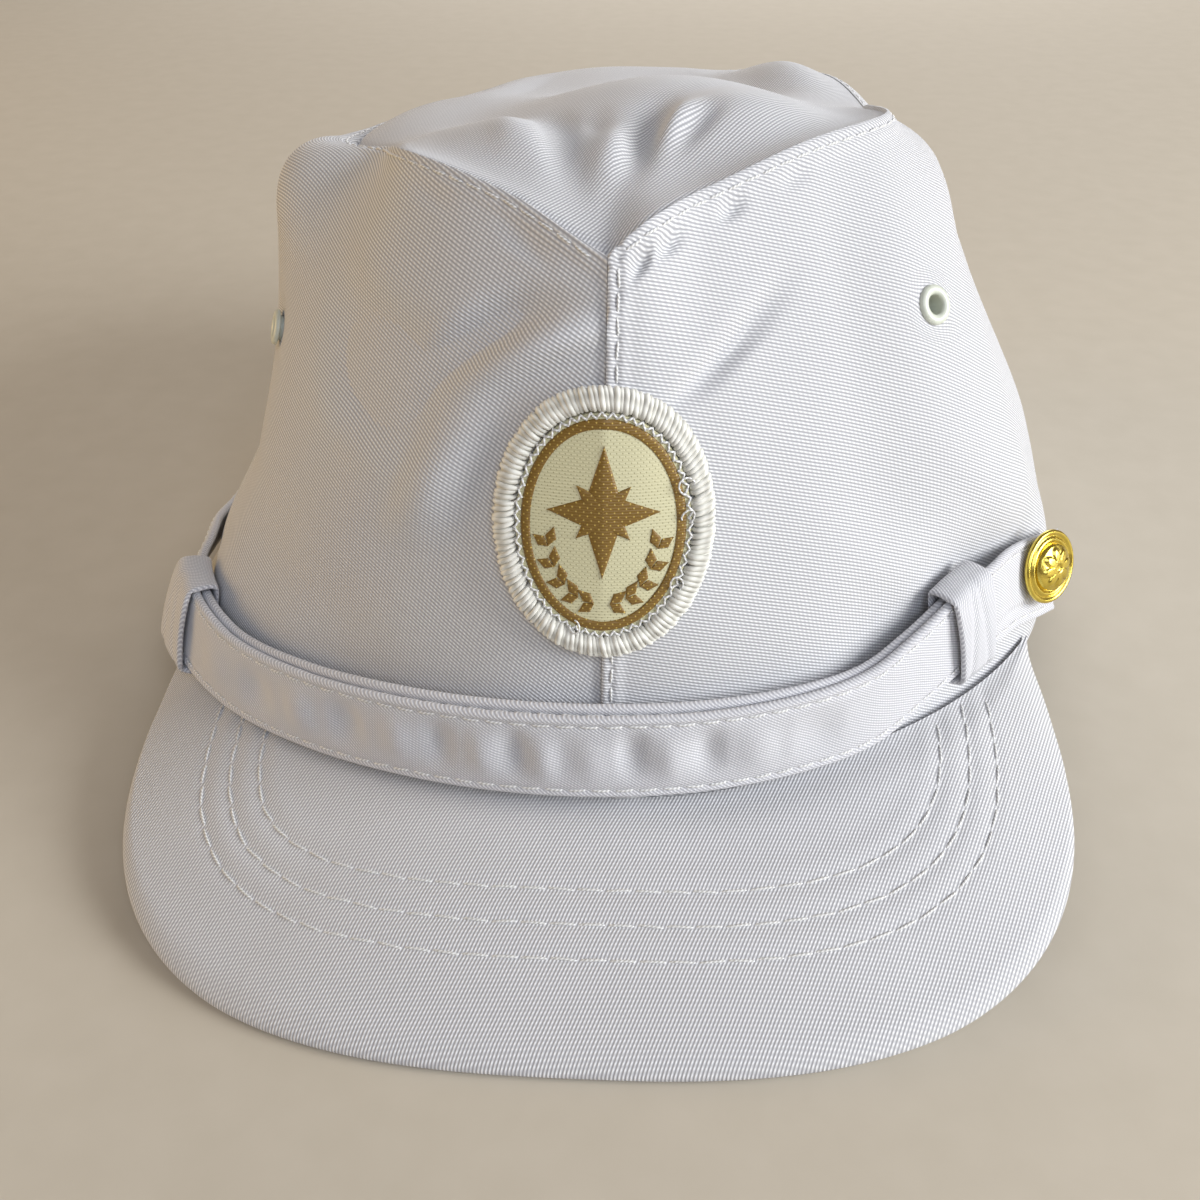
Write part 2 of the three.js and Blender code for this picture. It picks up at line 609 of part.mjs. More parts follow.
function eyelet(spot) {
  const low = -CLOTH - GAP;
  const base = low - EYELET_RISE + 0.3;
  const profile = [
    [EYELET_HOLE_R, base], [EYELET_HOLE_R, EYELET_RISE - 0.1],
    [EYELET_HOLE_R + 0.4, GAP + EYELET_RISE], [EYELET_R - 0.6, GAP + EYELET_RISE - 0.15],
    [EYELET_R, GAP + 0.25], [EYELET_R - 0.2, GAP], [EYELET_BARREL_R, GAP],
    [EYELET_BARREL_R, low], [EYELET_R - 0.3, low], [EYELET_R - 0.6, base],
  ];
  return turned(profile, SMALL_AROUND, eyeletPlace(spot)).geometry();
}

function eyeletHole(spot) {
  const r = EYELET_BARREL_R + GAP;
  const reach = 2 * CLOTH;
  const profile = [[0, -reach], [r, -reach], [r, reach], [0, reach]];
  return turned(profile, SMALL_AROUND, eyeletPlace(spot));
}

// A point over the front wall from places across and up the patch, standing off by some depth.
function patchPoint(across, up, depth) {
  const height = PATCH_HEIGHT + up / Math.hypot(1, PATCH_SLOPE);
  const middle = sectionPoint(0, upAtHeight(0, height)).radius;
  const angle = across / middle / RAD;
  const p = wallLevel(angle, upAtHeight(angle, height));
  return settle(p.addScaledVector(outwards(angle), depth));
}

// A ring of points round the patch: its oval scaled, then grown by a width.
const ovalRing = (scale, grow, count, depth) => Array.from({ length: count }, (_, k) => {
  const a = (2 * Math.PI * k) / count;
  const across = (PATCH_HALF_WIDE * scale + grow) * Math.cos(a);
  const up = (PATCH_HALF_TALL * scale + grow) * Math.sin(a);
  return patchPoint(across, up, depth);
});

function patch() {
  const high = PATCH_STAND + PATCH_THICK;
  const rings = (depth) => PATCH_RINGS.map((scale) => ovalRing(scale, 0, PATCH_AROUND, depth));
  const middles = [high, PATCH_STAND].map((depth) => patchPoint(0, 0, depth));
  return dished(rings(high), rings(PATCH_STAND), ...middles).geometry();
}

function patchBorder() {
  const low = PATCH_STAND;
  const high = PATCH_STAND + BORDER_THICK;
  const section = [
    [GAP, low], [GAP, high - 0.6], [GAP + 0.6, high - 0.1], [GAP + BORDER_WIDE / 2, high],
    [GAP + BORDER_WIDE - 0.7, high - 0.25], [GAP + BORDER_WIDE, low + 0.7], [GAP + BORDER_WIDE, low],
  ];
  const rings = section.map(([grow, depth]) => ovalRing(1, grow, BORDER_AROUND, depth));
  const body = new Body();
  const ids = rings.map((ring) => ring.map((p) => body.add(p)));
  for (let i = 0; i < ids.length; i += 1) {
    const a = ids[i];
    const b = ids[(i + 1) % ids.length];
    for (let k = 0; k < a.length; k += 1) {
      const n = (k + 1) % a.length;
      body.quad(a[k], b[k], b[n], a[n]);
    }
  }
  return body.faceOut().geometry();
}

const cloth = () => new THREE.MeshStandardMaterial({ color: '#e6e7ec', roughness: 0.9 });
const gilt = () => new THREE.MeshStandardMaterial({ color: '#d9b64a', roughness: 0.3, metalness: 1 });
const enamel = () => new THREE.MeshStandardMaterial({ color: '#e2e5df', roughness: 0.4 });
const satin = () => new THREE.MeshStandardMaterial({ color: '#ddd9c0', roughness: 0.6 });
const thread = () => new THREE.MeshStandardMaterial({ color: '#eceae6', roughness: 0.85 });

const OUTER_LAYER = { from: STRAP_OUTER_FROM, to: STRAP_OUTER_TO, depthAt: outerDepth, slipAt: () => 0 };
const INNER_LAYER = { from: STRAP_INNER_FROM, to: STRAP_INNER_TO, depthAt: () => 0, slipAt: innerSlip };

const PIECES = [
  ['side_panel_right', sidePanel(1, [eyeletHole(EYELET_RIGHT)]), cloth()],
  ['side_panel_left', sidePanel(-1, [eyeletHole(EYELET_LEFT)]), cloth()],
  ['top_panel', topPanel(), cloth()],
  ['peak', peak(), cloth()],
  ['strap_outer', strap(OUTER_LAYER, shankHole(BUTTON_RIGHT)), cloth()],
  ['strap_inner', strap(INNER_LAYER, shankHole(BUTTON_LEFT)), cloth()],
  ['keeper_right', keeper(KEEPER_RIGHT), cloth()],
  ['keeper_left', keeper(KEEPER_LEFT), cloth()],
  ['button_right', button(BUTTON_RIGHT), gilt()],
  ['button_left', button(BUTTON_LEFT), gilt()],
  ['eyelet_right', eyelet(EYELET_RIGHT), enamel()],
  ['eyelet_left', eyelet(EYELET_LEFT), enamel()],
  ['badge_patch', patch(), satin()],
  ['badge_border', patchBorder(), thread()],
];

// The group's origin is the middle of its footprint on the table.
const bounds = new THREE.Box3();
for (const [, geometry] of PIECES) {
  geometry.computeBoundingBox();
  bounds.union(geometry.boundingBox);
}
const middle = bounds.getCenter(v3(0, 0, 0));

const cap = new THREE.Group();
cap.name = 'peaked_cap';
for (const [name, geometry, material] of PIECES) {
  geometry.translate(-middle.x, -middle.y, -bounds.min.z);
  const mesh = new THREE.Mesh(geometry, material);
  mesh.name = name;
  cap.add(mesh);
}

export default cap;
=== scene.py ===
"""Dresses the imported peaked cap: white twill, sewing thread, gilt buttons and a woven badge.

Sizes are millimetres in the cap's own frame, where the head ring is level and centred, and angles
run in degrees from the front, minus to the left as seen by someone who faces the peak. CapForm
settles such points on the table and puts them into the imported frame, in metres.
"""

import logging
import math
from dataclasses import dataclass, field, replace
from enum import Enum
from typing import NamedTuple

import bmesh
import bpy
import numpy as np
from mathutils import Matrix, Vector
from mathutils.bvhtree import BVHTree

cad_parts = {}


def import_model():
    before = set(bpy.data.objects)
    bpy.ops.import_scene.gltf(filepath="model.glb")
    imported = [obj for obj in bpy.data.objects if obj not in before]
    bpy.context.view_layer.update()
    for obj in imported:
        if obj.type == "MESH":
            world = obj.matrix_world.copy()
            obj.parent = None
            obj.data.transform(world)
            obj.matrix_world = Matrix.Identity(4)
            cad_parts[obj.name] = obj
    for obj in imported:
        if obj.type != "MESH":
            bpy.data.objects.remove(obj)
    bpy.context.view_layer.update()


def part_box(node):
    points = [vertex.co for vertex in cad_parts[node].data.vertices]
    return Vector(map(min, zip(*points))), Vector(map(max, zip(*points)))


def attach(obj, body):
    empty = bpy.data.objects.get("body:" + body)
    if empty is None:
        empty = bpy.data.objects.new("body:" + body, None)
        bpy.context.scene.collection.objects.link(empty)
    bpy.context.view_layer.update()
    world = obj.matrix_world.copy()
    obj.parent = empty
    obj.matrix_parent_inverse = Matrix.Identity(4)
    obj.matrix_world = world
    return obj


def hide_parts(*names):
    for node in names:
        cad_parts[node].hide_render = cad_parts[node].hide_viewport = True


LOG = logging.getLogger("peaked_cap")
MM = 0.001
FLAT_MAP = "flat_cloth_mm"

Points = np.ndarray
Spot = tuple[float, float]
Piece = bpy.types.Object
Tree = bpy.types.NodeTree
Socket = bpy.types.NodeSocket


class Side(Enum):
    """The cap's two sides, as seen by someone who faces the peak."""

    RIGHT = 1
    LEFT = -1

    @property
    def word(self) -> str:
        """The side as a word for names."""
        return self.name.lower()


class Layer(Enum):
    """The two layers of the chin strap."""

    OUTER = "outer"
    INNER = "inner"


class Slot(Enum):
    """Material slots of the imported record."""

    TWILL = "white_twill"
    GILT = "gilt_brass"
    ENAMEL = "white_enamel"
    SATIN = "ivory_satin"
    THREAD = "white_thread"


class Hold(Enum):
    """How a sheet of cloth is held."""

    STRETCHED = "stretched"
    LAID = "laid"


def linear(colour: str) -> tuple[float, float, float, float]:
    """Turns an sRGB hex colour to linear.

    Args:
        colour: Six hex digits after a hash.

    Returns:
        Linear red, green, blue and an alpha of one.
    """
    parts = [int(colour[i : i + 2], 16) / 255 for i in (1, 3, 5)]
    light = [c / 12.92 if c <= 0.04045 else ((c + 0.055) / 1.055) ** 2.4 for c in parts]
    return (light[0], light[1], light[2], 1.0)


def add_node(
    tree: Tree, kind: str, settings: dict | None = None, inputs: dict | None = None
) -> bpy.types.Node:
    """Adds a node with its settings and links.

    Args:
        tree: The node tree that gets it.
        kind: Name of the node type.
        settings: Values of the node's own properties.
        inputs: Values of its sockets, or the sockets to link there.

    Returns:
        The new node.
    """
    node = tree.nodes.new(kind)
    for key, value in (settings or {}).items():
        setattr(node, key, value)
    for key, value in (inputs or {}).items():
        if isinstance(value, Socket):
            tree.links.new(value, node.inputs[key])
        else:
            node.inputs[key].default_value = value
    return node


def wave_scale(pitch: float) -> float:
    """Scale of a band texture whose bands repeat at a pitch in the units of its coordinates."""
    return math.pi / (10 * pitch)


def flat_place(tree: Tree) -> Socket:
    """Flat cloth coordinates of a piece, in millimetres."""
    return add_node(tree, "ShaderNodeUVMap", {"uv_map": FLAT_MAP}).outputs["UV"]


def mottle(tree: Tree, place: Socket, size: float, detail: float) -> Socket:
    """Soft noise of a size in the units of its coordinates."""
    values = {"Vector": place, "Scale": 1 / size, "Detail": detail}
    return add_node(tree, "ShaderNodeTexNoise", {}, values).outputs["Fac"]


def bands(
    tree: Tree,
    place: Socket,
    pitch: float,
    stray: float,
    turn_deg: float = 0.0,
    across: str = "Y",
    slubs: dict | None = None,
) -> Socket:
    """Bands that repeat at a pitch.

    Args:
        tree: The node tree that gets them.
        place: Coordinates.
        pitch: Distance from band to band, in the units of the coordinates.
        stray: How far the bands wander.
        turn_deg: Turn of the coordinates.
        across: Axis that crosses the bands.
        slubs: Values that set how long the thick places are.

    Returns:
        Height of the bands, from 0 to 1.
    """
    if turn_deg:
        turn = {"Vector": place, "Rotation": (0, 0, math.radians(turn_deg))}
        place = add_node(tree, "ShaderNodeMapping", {}, turn).outputs["Vector"]
    values = {"Vector": place, "Scale": wave_scale(pitch), "Distortion": stray, **(slubs or {})}
    return add_node(tree, "ShaderNodeTexWave", {"bands_direction": across}, values).outputs["Fac"]


def worked(tree: Tree, operation: str, *values: Socket | float) -> Socket:
    """Result of an operation on numbers or sockets."""
    return add_node(tree, "ShaderNodeMath", {"operation": operation}, dict(enumerate(values))).outputs[0]


def blended(tree: Tree, share: Socket, low: str | Socket, high: str | Socket) -> Socket:
    """Colour between two, each an sRGB hex or a socket."""
    ends = [linear(c) if isinstance(c, str) else c for c in (low, high)]
    values = {"Factor": share, 6: ends[0], 7: ends[1]}
    return add_node(tree, "ShaderNodeMix", {"data_type": "RGBA"}, values).outputs[2]


def pressed(tree: Tree, height: Socket, strength: float, depth_mm: float) -> Socket:
    """Directions of a surface that has a fine relief."""
    values = {"Height": height, "Strength": strength, "Distance": depth_mm * MM}
    return add_node(tree, "ShaderNodeBump", {}, values).outputs["Normal"]


def matched(*values: Points) -> list[Points]:
    """Values as arrays of numbers of one shape."""
    return np.broadcast_arrays(*(np.asarray(v, float) for v in values))


def step(start: float, end: float, value: Points) -> Points:
    """Smooth step from 0 at start to 1 at end."""
    t = np.clip((value - start) / (end - start), 0.0, 1.0)
    return t * t * (3 - 2 * t)


def swell(value: Points) -> Points:
    """Smooth hump, 1 in the middle and 0 from one unit away."""
    v = np.minimum(np.abs(value), 1.0)
    return (1 - v * v) ** 2


def bell(value: Points) -> Points:
    """Narrow smooth hump for a seam or a groove."""
    return np.exp(-value * value)


def unit(v: Points) -> Points:
    """Vectors of length one."""
    return v / np.maximum(np.linalg.norm(v, axis=-1, keepdims=True), 1e-12)


def rolled(distance: Points, radius: float) -> Points:
    """Share of the half thickness near a rolled edge, from 0 on the edge to 1 past its radius."""
    t = np.clip(distance / radius, 0.0, 1.0)
    return np.sqrt(1 - (1 - t) ** 2)


def cubic(t: Points, start: Points, end: Points, leave: Points, arrive: Points) -> Points:
    """Smooth curve from start to end that leaves and arrives at given slopes."""
    near = (2 * t**3 - 3 * t**2 + 1) * start + (t**3 - 2 * t**2 + t) * leave
    return near + (3 * t**2 - 2 * t**3) * end + (t**3 - t**2) * arrive


def turned_flat(flat: Points, degrees: float) -> Points:
    """Flat cloth coordinates turned so that the twill's ribs run along the first one."""
    c, s = math.cos(math.radians(degrees)), math.sin(math.radians(degrees))
    return np.stack([flat[..., 0] * c + flat[..., 1] * s, flat[..., 1] * c - flat[..., 0] * s], -1)


@dataclass
class Shell:
    """A closed surface: points in millimetres, faces, and flat coordinates for its pattern."""

    points: Points
    faces: list
    flat: Points

    @staticmethod
    def joined(shells: list["Shell"]) -> "Shell":
        """Several shells as one.

        Args:
            shells: The shells.

        Returns:
            One shell with all their faces.
        """
        faces, start = [], 0
        for shell in shells:
            faces += [tuple(i + start for i in f) for f in shell.faces]
            start += len(shell.points)
        points = np.concatenate([s.points for s in shells])
        return Shell(points, faces, np.concatenate([s.flat for s in shells]))

    def flat_area(self) -> float:
        """Area of one face of a sheet in the flat cloth, in square millimetres."""
        corners = self.flat[np.array(self.faces)]
        one, two = corners[:, 2] - corners[:, 0], corners[:, 3] - corners[:, 1]
        return float(np.abs(one[:, 0] * two[:, 1] - one[:, 1] * two[:, 0]).sum() / 4)


def sheet_shell(
    face: Points,
    back: Points,
    flat: Points,
    keep: Points | None = None,
    ring: bool = False,
    pole: bool = False,
) -> Shell:
    """A sheet with thickness from two matching grids, walled along every free edge.

    Args:
        face: Grid of points on the outside, shaped (rows, columns, 3).
        back: The same grid on the inside.
        flat: Flat cloth coordinates of the grid.
        keep: Cells to keep, where the sheet has holes.
        ring: Whether the rows close on themselves.
        pole: Whether the last column is one point.

    Returns:
        The closed shell.
    """
    rows, cols = face.shape[:2]
    cells = rows if ring else rows - 1
    keep = np.ones((cells, cols - 1), bool) if keep is None else keep
    total = rows * cols
    faces = []

    def kept(i: int, j: int) -> bool:
        """Whether a cell is there."""
        i = i % cells if ring else i
        return 0 <= i < cells and 0 <= j < cols - 1 and bool(keep[i, j])

    for i, j in zip(*np.nonzero(keep)):
        n = (i + 1) % rows
        a, b, c, d = i * cols + j, n * cols + j, n * cols + j + 1, i * cols + j + 1
        faces += [(a, b, c, d), (d + total, c + total, b + total, a + total)]
        edges = [(a, b, i, j - 1), (b, c, i + 1, j), (c, d, i, j + 1), (d, a, i - 1, j)]
        for p, q, ni, nj in edges:
            if not kept(ni, nj) and not (pole and nj == cols - 1):
                faces.append((q, p, p + total, q + total))
    points = np.concatenate([face.reshape(-1, 3), back.reshape(-1, 3)])
    return Shell(points, faces, np.tile(flat.reshape(-1, 2), (2, 1)))


def tube_shell(centre: Points, out: Points, radius: Points, sides: int = 7) -> Shell:
    """Round threads along many short paths, closed at both ends.

    Args:
        centre: Paths, shaped (threads, rings, 3).
        out: Directions that aren't along the paths, of the same shape.
        radius: Thread radius at each ring, shaped (threads, rings).
        sides: Points round a thread.

    Returns:
        One shell with all the threads.
    """
    threads, rings = centre.shape[:2]
    along = unit(np.gradient(centre, axis=1))
    side = unit(np.cross(along, out))
    high = np.cross(side, along)
    turn = np.linspace(0, 2 * math.pi, sides, endpoint=False)
    spoke = np.cos(turn)[:, None] * side[:, :, None] + np.sin(turn)[:, None] * high[:, :, None]
    points = centre[:, :, None] + radius[:, :, None, None] * spoke
    run = np.cumsum(np.linalg.norm(np.diff(centre, axis=1, prepend=centre[:, :1]), axis=-1), 1)
    around = turn[None, None] * radius[:, :, None]
    flat = np.stack([np.broadcast_to(run[:, :, None], around.shape), around], -1)
    faces = []
    for t in range(threads):
        base = t * rings * sides
        for i in range(rings - 1):
            for k in range(sides):
                a, b = base + i * sides + k, base + i * sides + (k + 1) % sides
                faces.append((a, b, b + sides, a + sides))
        faces.append(tuple(base + k for k in reversed(range(sides))))
        faces.append(tuple(base + (rings - 1) * sides + k for k in range(sides)))
    return Shell(points.reshape(-1, 3), faces, flat.reshape(-1, 2))


@dataclass(frozen=True)
class Place:
    """Where a small turned piece stands: its foot, and the directions across, up and outwards."""

    origin: Points
    side: Points
    high: Points
    axis: Points

    @staticmethod
    def at(origin: Points, axis: Points) -> "Place":
        """A place from its foot and its outward direction."""
        side = unit(np.cross([0.0, 0.0, 1.0], axis))
        return Place(origin, side, np.cross(axis, side), axis)

    def points(self, x: Points, y: Points, h: Points) -> Points:
        """Points from places across, up and outwards."""
        parts = zip((x, y, h), (self.side, self.high, self.axis))
        return self.origin + sum(np.asarray(v)[..., None] * d for v, d in parts)


def lathe_shell(profile: Points, place: Place, around: int, relief: Points | None = None) -> Shell:
    """A turned piece.

    Args:
        profile: Closed profile of radius and height, shaped (count, 2).
        place: Where it stands.
        around: Points round the axis.
        relief: Heights to add, shaped (around, count).

    Returns:
        The closed shell. Points on the axis fall together and are joined when the mesh is made.
    """
    turn = np.linspace(0, 2 * math.pi, around, endpoint=False)[:, None]
    r, h = profile[:, 0][None], profile[:, 1][None] + (0 if relief is None else relief)
    grid = place.points(r * np.cos(turn), r * np.sin(turn), h + 0 * turn)
    count = len(profile)
    closed = profile[0, 0] > 0
    faces = []
    for i in range(around):
        n = (i + 1) % around
        for j in range(count if closed else count - 1):
            k = (j + 1) % count
            faces.append((i * count + j, n * count + j, n * count + k, i * count + k))
    flat = np.stack([r * np.cos(turn), r * np.sin(turn)], -1)
    return Shell(grid.reshape(-1, 3), faces, flat.reshape(-1, 2))


class SideFold(NamedTuple):
    """A soft fold in a side panel, with its slant in degrees per part of the height."""

    angle: float
    up: float
    half_angle: float
    half_up: float
    slant: float
    rise: float

    def at(self, angle: Points, up: Points) -> Points:
        """Its rise at some places of the panel."""
        off = angle - self.angle - self.slant * (up - self.up)
        return self.rise * swell(off / self.half_angle) * swell((up - self.up) / self.half_up)


class TopFold(NamedTuple):
    """A soft fold in the top panel: centre, half length, half width, turn and rise."""

    x: float
    y: float
    half_long: float
    half_wide: float
    turn: float
    rise: float

    def at(self, x: Points, y: Points) -> Points:
        """Its rise at some places of the top.

        Args:
            x: Places to the right.
            y: Places to the back.

        Returns:
            The rise.
        """
        c, s = math.cos(math.radians(self.turn)), math.sin(math.radians(self.turn))
        long = (x - self.x) * c + (y - self.y) * s
        wide = (y - self.y) * c - (x - self.x) * s
        return self.rise * swell(long / self.half_long) * swell(wide / self.half_wide)


class Dent(NamedTuple):
    """A small pull or swell: degrees, millimetres from a seam or a midline, half spans and rise."""

    angle: float
    place: float
    half_angle: float
    half_place: float
    rise: float

    def at(self, angle: Points, place: Points) -> Points:
        """Its rise at some places of the cloth."""
        off = swell((angle - self.angle) / self.half_angle)
        return self.rise * off * swell((place - self.place) / self.half_place)


@dataclass(frozen=True)
class Curves:
    """Smooth curves through the columns of a table whose first column is the angle."""

    columns: tuple[str, ...]
    rows: tuple[tuple[float, ...], ...]

    def at(self, column: str, angle: Points) -> Points:
        """Values of a column at some angles; the last row ends level.

        Args:
            column: Name of the column.
            angle: Angles in degrees.

        Returns:
            The values.
        """
        table = np.array(self.rows)
        turn, value = table[:, 0], table[:, self.columns.index(column)]
        last = len(turn) - 1
        slope = np.zeros(last + 1)
        slope[0] = (value[1] - value[0]) / (turn[1] - turn[0])
        slope[1:last] = (value[2:] - value[:-2]) / (turn[2:] - turn[:-2])
        i = np.clip(np.searchsorted(turn, angle, side="right") - 1, 0, last - 1)
        span = turn[i + 1] - turn[i]
        t = (angle - turn[i]) / span
        return cubic(t, value[i], value[i + 1], span * slope[i], span * slope[i + 1])


SECTION = ("angle", "low_r", "low_z", "high_r", "high_z", "seam_r", "seam_z")
RIGHT_SECTIONS = Curves(
    SECTION,
    (
        (0, 93, 27, 86, 55, 77, 80.5),
        (4, 92.8, 27, 85.3, 55.7, 74.5, 84.6),
        (11, 92.5, 27, 84, 57, 67.5, 87),
        (27, 91.5, 27, 79.5, 60, 61.5, 91.3),
        (47, 92.5, 28, 79, 72, 56.5, 92.2),
        (66, 91.5, 27.5, 62, 86, 45.5, 90),
        (90, 84.5, 24, 55, 80, 44, 87),
        (120, 88, 25, 66, 84, 46, 88.8),
        (150, 92, 28, 75, 85, 55, 86),
        (180, 93, 30, 80, 85, 62, 82.5),
    ),
)
LEFT_SECTIONS = Curves(
    SECTION,
    (
        (0, 93, 27, 86, 55, 77, 80.5),
        (11, 92.5, 27, 84, 57, 70.5, 86.5),
        (27, 90, 25, 80.5, 60, 64.5, 89.5),
        (47, 86.5, 22, 71, 78, 50.5, 85.5),
        (66, 60, 13, 76.5, 97, 50.5, 82.5),
        (90, 64.5, 9.5, 66, 85, 47, 81.5),
        (120, 74, 17, 62, 83, 44, 82),
        (150, 90, 26, 74, 83, 53, 81.5),
        (180, 93, 30, 80, 85, 62, 82.5),
    ),
)
SIDE_FOLDS = (
    SideFold(55, 0.33, 9, 0.3, -60, 1.6),
    SideFold(40, 0.34, 10, 0.26, -60, -1.6),
    SideFold(-24, 0.55, 9, 0.3, 40, 1.2),
    SideFold(-118, 0.4, 12, 0.35, 30, 2),
    SideFold(112, 0.45, 12, 0.35, -30, -2),
    SideFold(150, 0.5, 11, 0.4, 25, 2),
    SideFold(-67, 0.2, 30, 0.2, 0, 6.2),
    SideFold(42, 0.18, 21, 0.2, 0, -4.7),
    SideFold(56, 0.24, 9, 0.14, 0, -0.6),
    SideFold(-42, 0.16, 20, 0.16, 0, 2.4),
    SideFold(68, 0.84, 26, 0.15, 0, 3),
    SideFold(68, 0.57, 24, 0.2, 0, -1.6),
    SideFold(-62, 0.79, 22, 0.14, 0, 1.4),
    SideFold(-56, 0.56, 22, 0.16, 0, -1.2),
)
TOP_FOLDS = (
    TopFold(9, -28, 38, 36, 0, 8),
    TopFold(32, 24, 18, 22, 0, 4.5),
    TopFold(-24, 24, 22, 26, 0, -1.5),
    TopFold(16, -47, 30, 13, 42, 3.5),
    TopFold(-16, -50, 30, 13, 138, 4),
    TopFold(-8, -52, 19, 4.5, 100, -2.2),
    TopFold(4.6, -51, 16, 4, 78, -2.2),
)
STRAP_ROWS = Curves(
    ("angle", "radius", "height", "lean", "slip"),
    (
        (-119, 87.6, 4.4, 27, 0),
        (-100, 85.3, 1.4, 34, 0),
        (-84, 85.4, 1.6, 32, 0),
        (-70, 87.2, 6.2, 29, 0),
        (-62, 89.3, 9.3, 31, -0.2),
        (-54, 93.3, 10.2, 22, -0.2),
        (-46, 95.3, 9.5, 12, -0.1),
        (-40, 95.4, 8.3, 6.5, 0),
        (-30, 94.7, 8.5, 2.5, 0.4),
        (-20, 94.5, 9.5, 1, 0.7),
        (-10, 94.5, 10.3, 1, 0.8),
        (0, 94.6, 11, 1, 0.8),
        (10, 94.3, 11.4, 0, 0.6),
        (20, 93.8, 12.3, 0, 0.2),
        (26, 92.9, 13.2, 2, -0.2),
        (32, 91.2, 15.9, 4, -0.5),
        (38, 89.7, 18.3, 7, -0.6),
        (43, 89.2, 19.5, 10, -0.6),
        (48, 89.2, 19.3, 14, -0.6),
        (53, 90.3, 18.4, 16, -0.6),
        (58, 91.6, 16.9, 14, -0.6),
        (66, 94, 14.6, 12, -0.6),
    ),
)


@dataclass(frozen=True)
class CapForm:
    """Shape of the whole cap, as its solids have it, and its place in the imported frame."""

    ring_half_width: float = 90.2
    ring_front: float = 94.1
    ring_back: float = 95.0
    tip_back_deg: float = 5.0
    hem_flat_right: tuple[float, float] = (95.0, 125.0)
    hem_flat_left: tuple[float, float] = (58.0, 94.0)
    cloth: float = 1.6
    gap: float = 0.3
    seam_in: float = 0.5
    seam_down: float = 0.87
    seam_stretch: float = 1.2
    top_mid: float = 87.5
    top_full: float = 6.0
    solid_angles: int = 36
    solid_ups: int = 13
    flat_welt: float = 0.25
    welt_turn: tuple[float, float] = (90.0, 65.0)
    shift: tuple[float, float, float] = (0.0, 0.0, 0.0)

    @property
    def seam_half_deg(self) -> float:
        """Half of the room between the two side panels at the front, in degrees."""
        return math.degrees(self.gap / 2 / self.ring_front)

    def fitted(self) -> "CapForm":
        """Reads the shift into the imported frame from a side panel's box.

        Returns:
            The same form with its shift.
        """
        low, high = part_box("side_panel_right")
        edge = self.seam_half_deg
        angle = np.linspace(edge, 180 - edge, self.solid_angles + 1)[:, None]
        wall = self.wall(angle, np.linspace(0, 1, self.solid_ups + 1)[None])
        back = float(wall[..., 1].max())
        return replace(self, shift=(low.x / MM - self.gap / 2, high.y / MM - back, low.z / MM))

    def place(self, points: Points) -> Points:
        """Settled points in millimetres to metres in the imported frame."""
        return (points + np.array(self.shift)) * MM

    def settle(self, p: Points) -> Points:
        """Tips points of the level cap back and stands them on the table.

        Args:
            p: Points of the level cap.

        Returns:
            Settled points.
        """
        tip = math.radians(self.tip_back_deg)
        c, s = math.cos(tip), math.sin(tip)
        lift = self.ring_back * s
        y, z = p[..., 1], p[..., 2]
        return np.stack([p[..., 0], y * c + z * s, z * c - y * s + lift], -1)

    def tipped(self, d: Points) -> Points:
        """A direction of the level cap, tipped back."""
        return self.settle(np.asarray(d, float)) - self.settle(np.zeros(3))

    @staticmethod
    def outwards(angle: Points) -> Points:
        """Level directions away from the cap's middle."""
        a = np.radians(np.asarray(angle, float))
        return np.stack([np.sin(a), -np.cos(a), np.zeros_like(a)], -1)

    def in_sight(self, angle: Points) -> Points:
        """Share of a welt's height: whole round the front, less where the seams lie flat behind."""
        return self.flat_welt + (1 - self.flat_welt) * step(*self.welt_turn, np.abs(angle))

    def ring_radius(self, angle: Points) -> Points:
        """Radius of the head ring."""
        s, c = np.sin(np.radians(angle)), np.cos(np.radians(angle))
        long = np.where(c >= 0, self.ring_front, self.ring_back)
        return 1 / np.hypot(s / self.ring_half_width, c / long)

    def section(self, angle: Points, up: Points) -> tuple[Points, Points]:
        """Radius and height of the crown's wall in the level cap.

        Args:
            angle: Degrees from the front.
            up: Part of the wall's height, 0 at the hem and 1 at the top seam.

        Returns:
            Radius and height.
        """
        angle, up = matched(angle, up)
        turn, down = np.abs(angle), 1 - up

        def both(column: str) -> Points:
            """A column from the table of the angle's own side."""
            left, right = LEFT_SECTIONS.at(column, turn), RIGHT_SECTIONS.at(column, turn)
            return np.where(angle < 0, left, right)

        low, high, top = 3 * up * down**2, 3 * up**2 * down, up**3
        radius = down**3 * self.ring_radius(angle) + low * both("low_r") + high * both("high_r")
        radius = radius + top * both("seam_r") + sum(f.at(angle, up) for f in SIDE_FOLDS)
        return radius, low * both("low_z") + high * both("high_z") + top * both("seam_z")

    def wall_level(self, angle: Points, up: Points) -> Points:
        """Points of the crown's wall in the level cap.

        Args:
            angle: Degrees from the front.
            up: Part of the wall's height.

        Returns:
            The points.
        """
        radius, height = self.section(angle, up)
        p = self.outwards(np.broadcast_to(angle, radius.shape)) * radius[..., None]
        p[..., 2] = height
        return p

    def wall(self, angle: Points, up: Points) -> Points:
        """Points of the crown's wall on the table, where the rear hem sinks flat.

        Args:
            angle: Degrees from the front.
            up: Part of the wall's height.

        Returns:
            Settled points.
        """
        angle, up = matched(angle, up)
        p = self.settle(self.wall_level(angle, up))
        turn = np.abs(angle)
        sink = np.where(angle < 0, step(*self.hem_flat_left, turn), step(*self.hem_flat_right, turn))
        hem = self.settle(self.wall_level(angle, np.zeros_like(up)))[..., 2]
        p[..., 2] -= hem * sink * (1 - up) ** 3
        return p

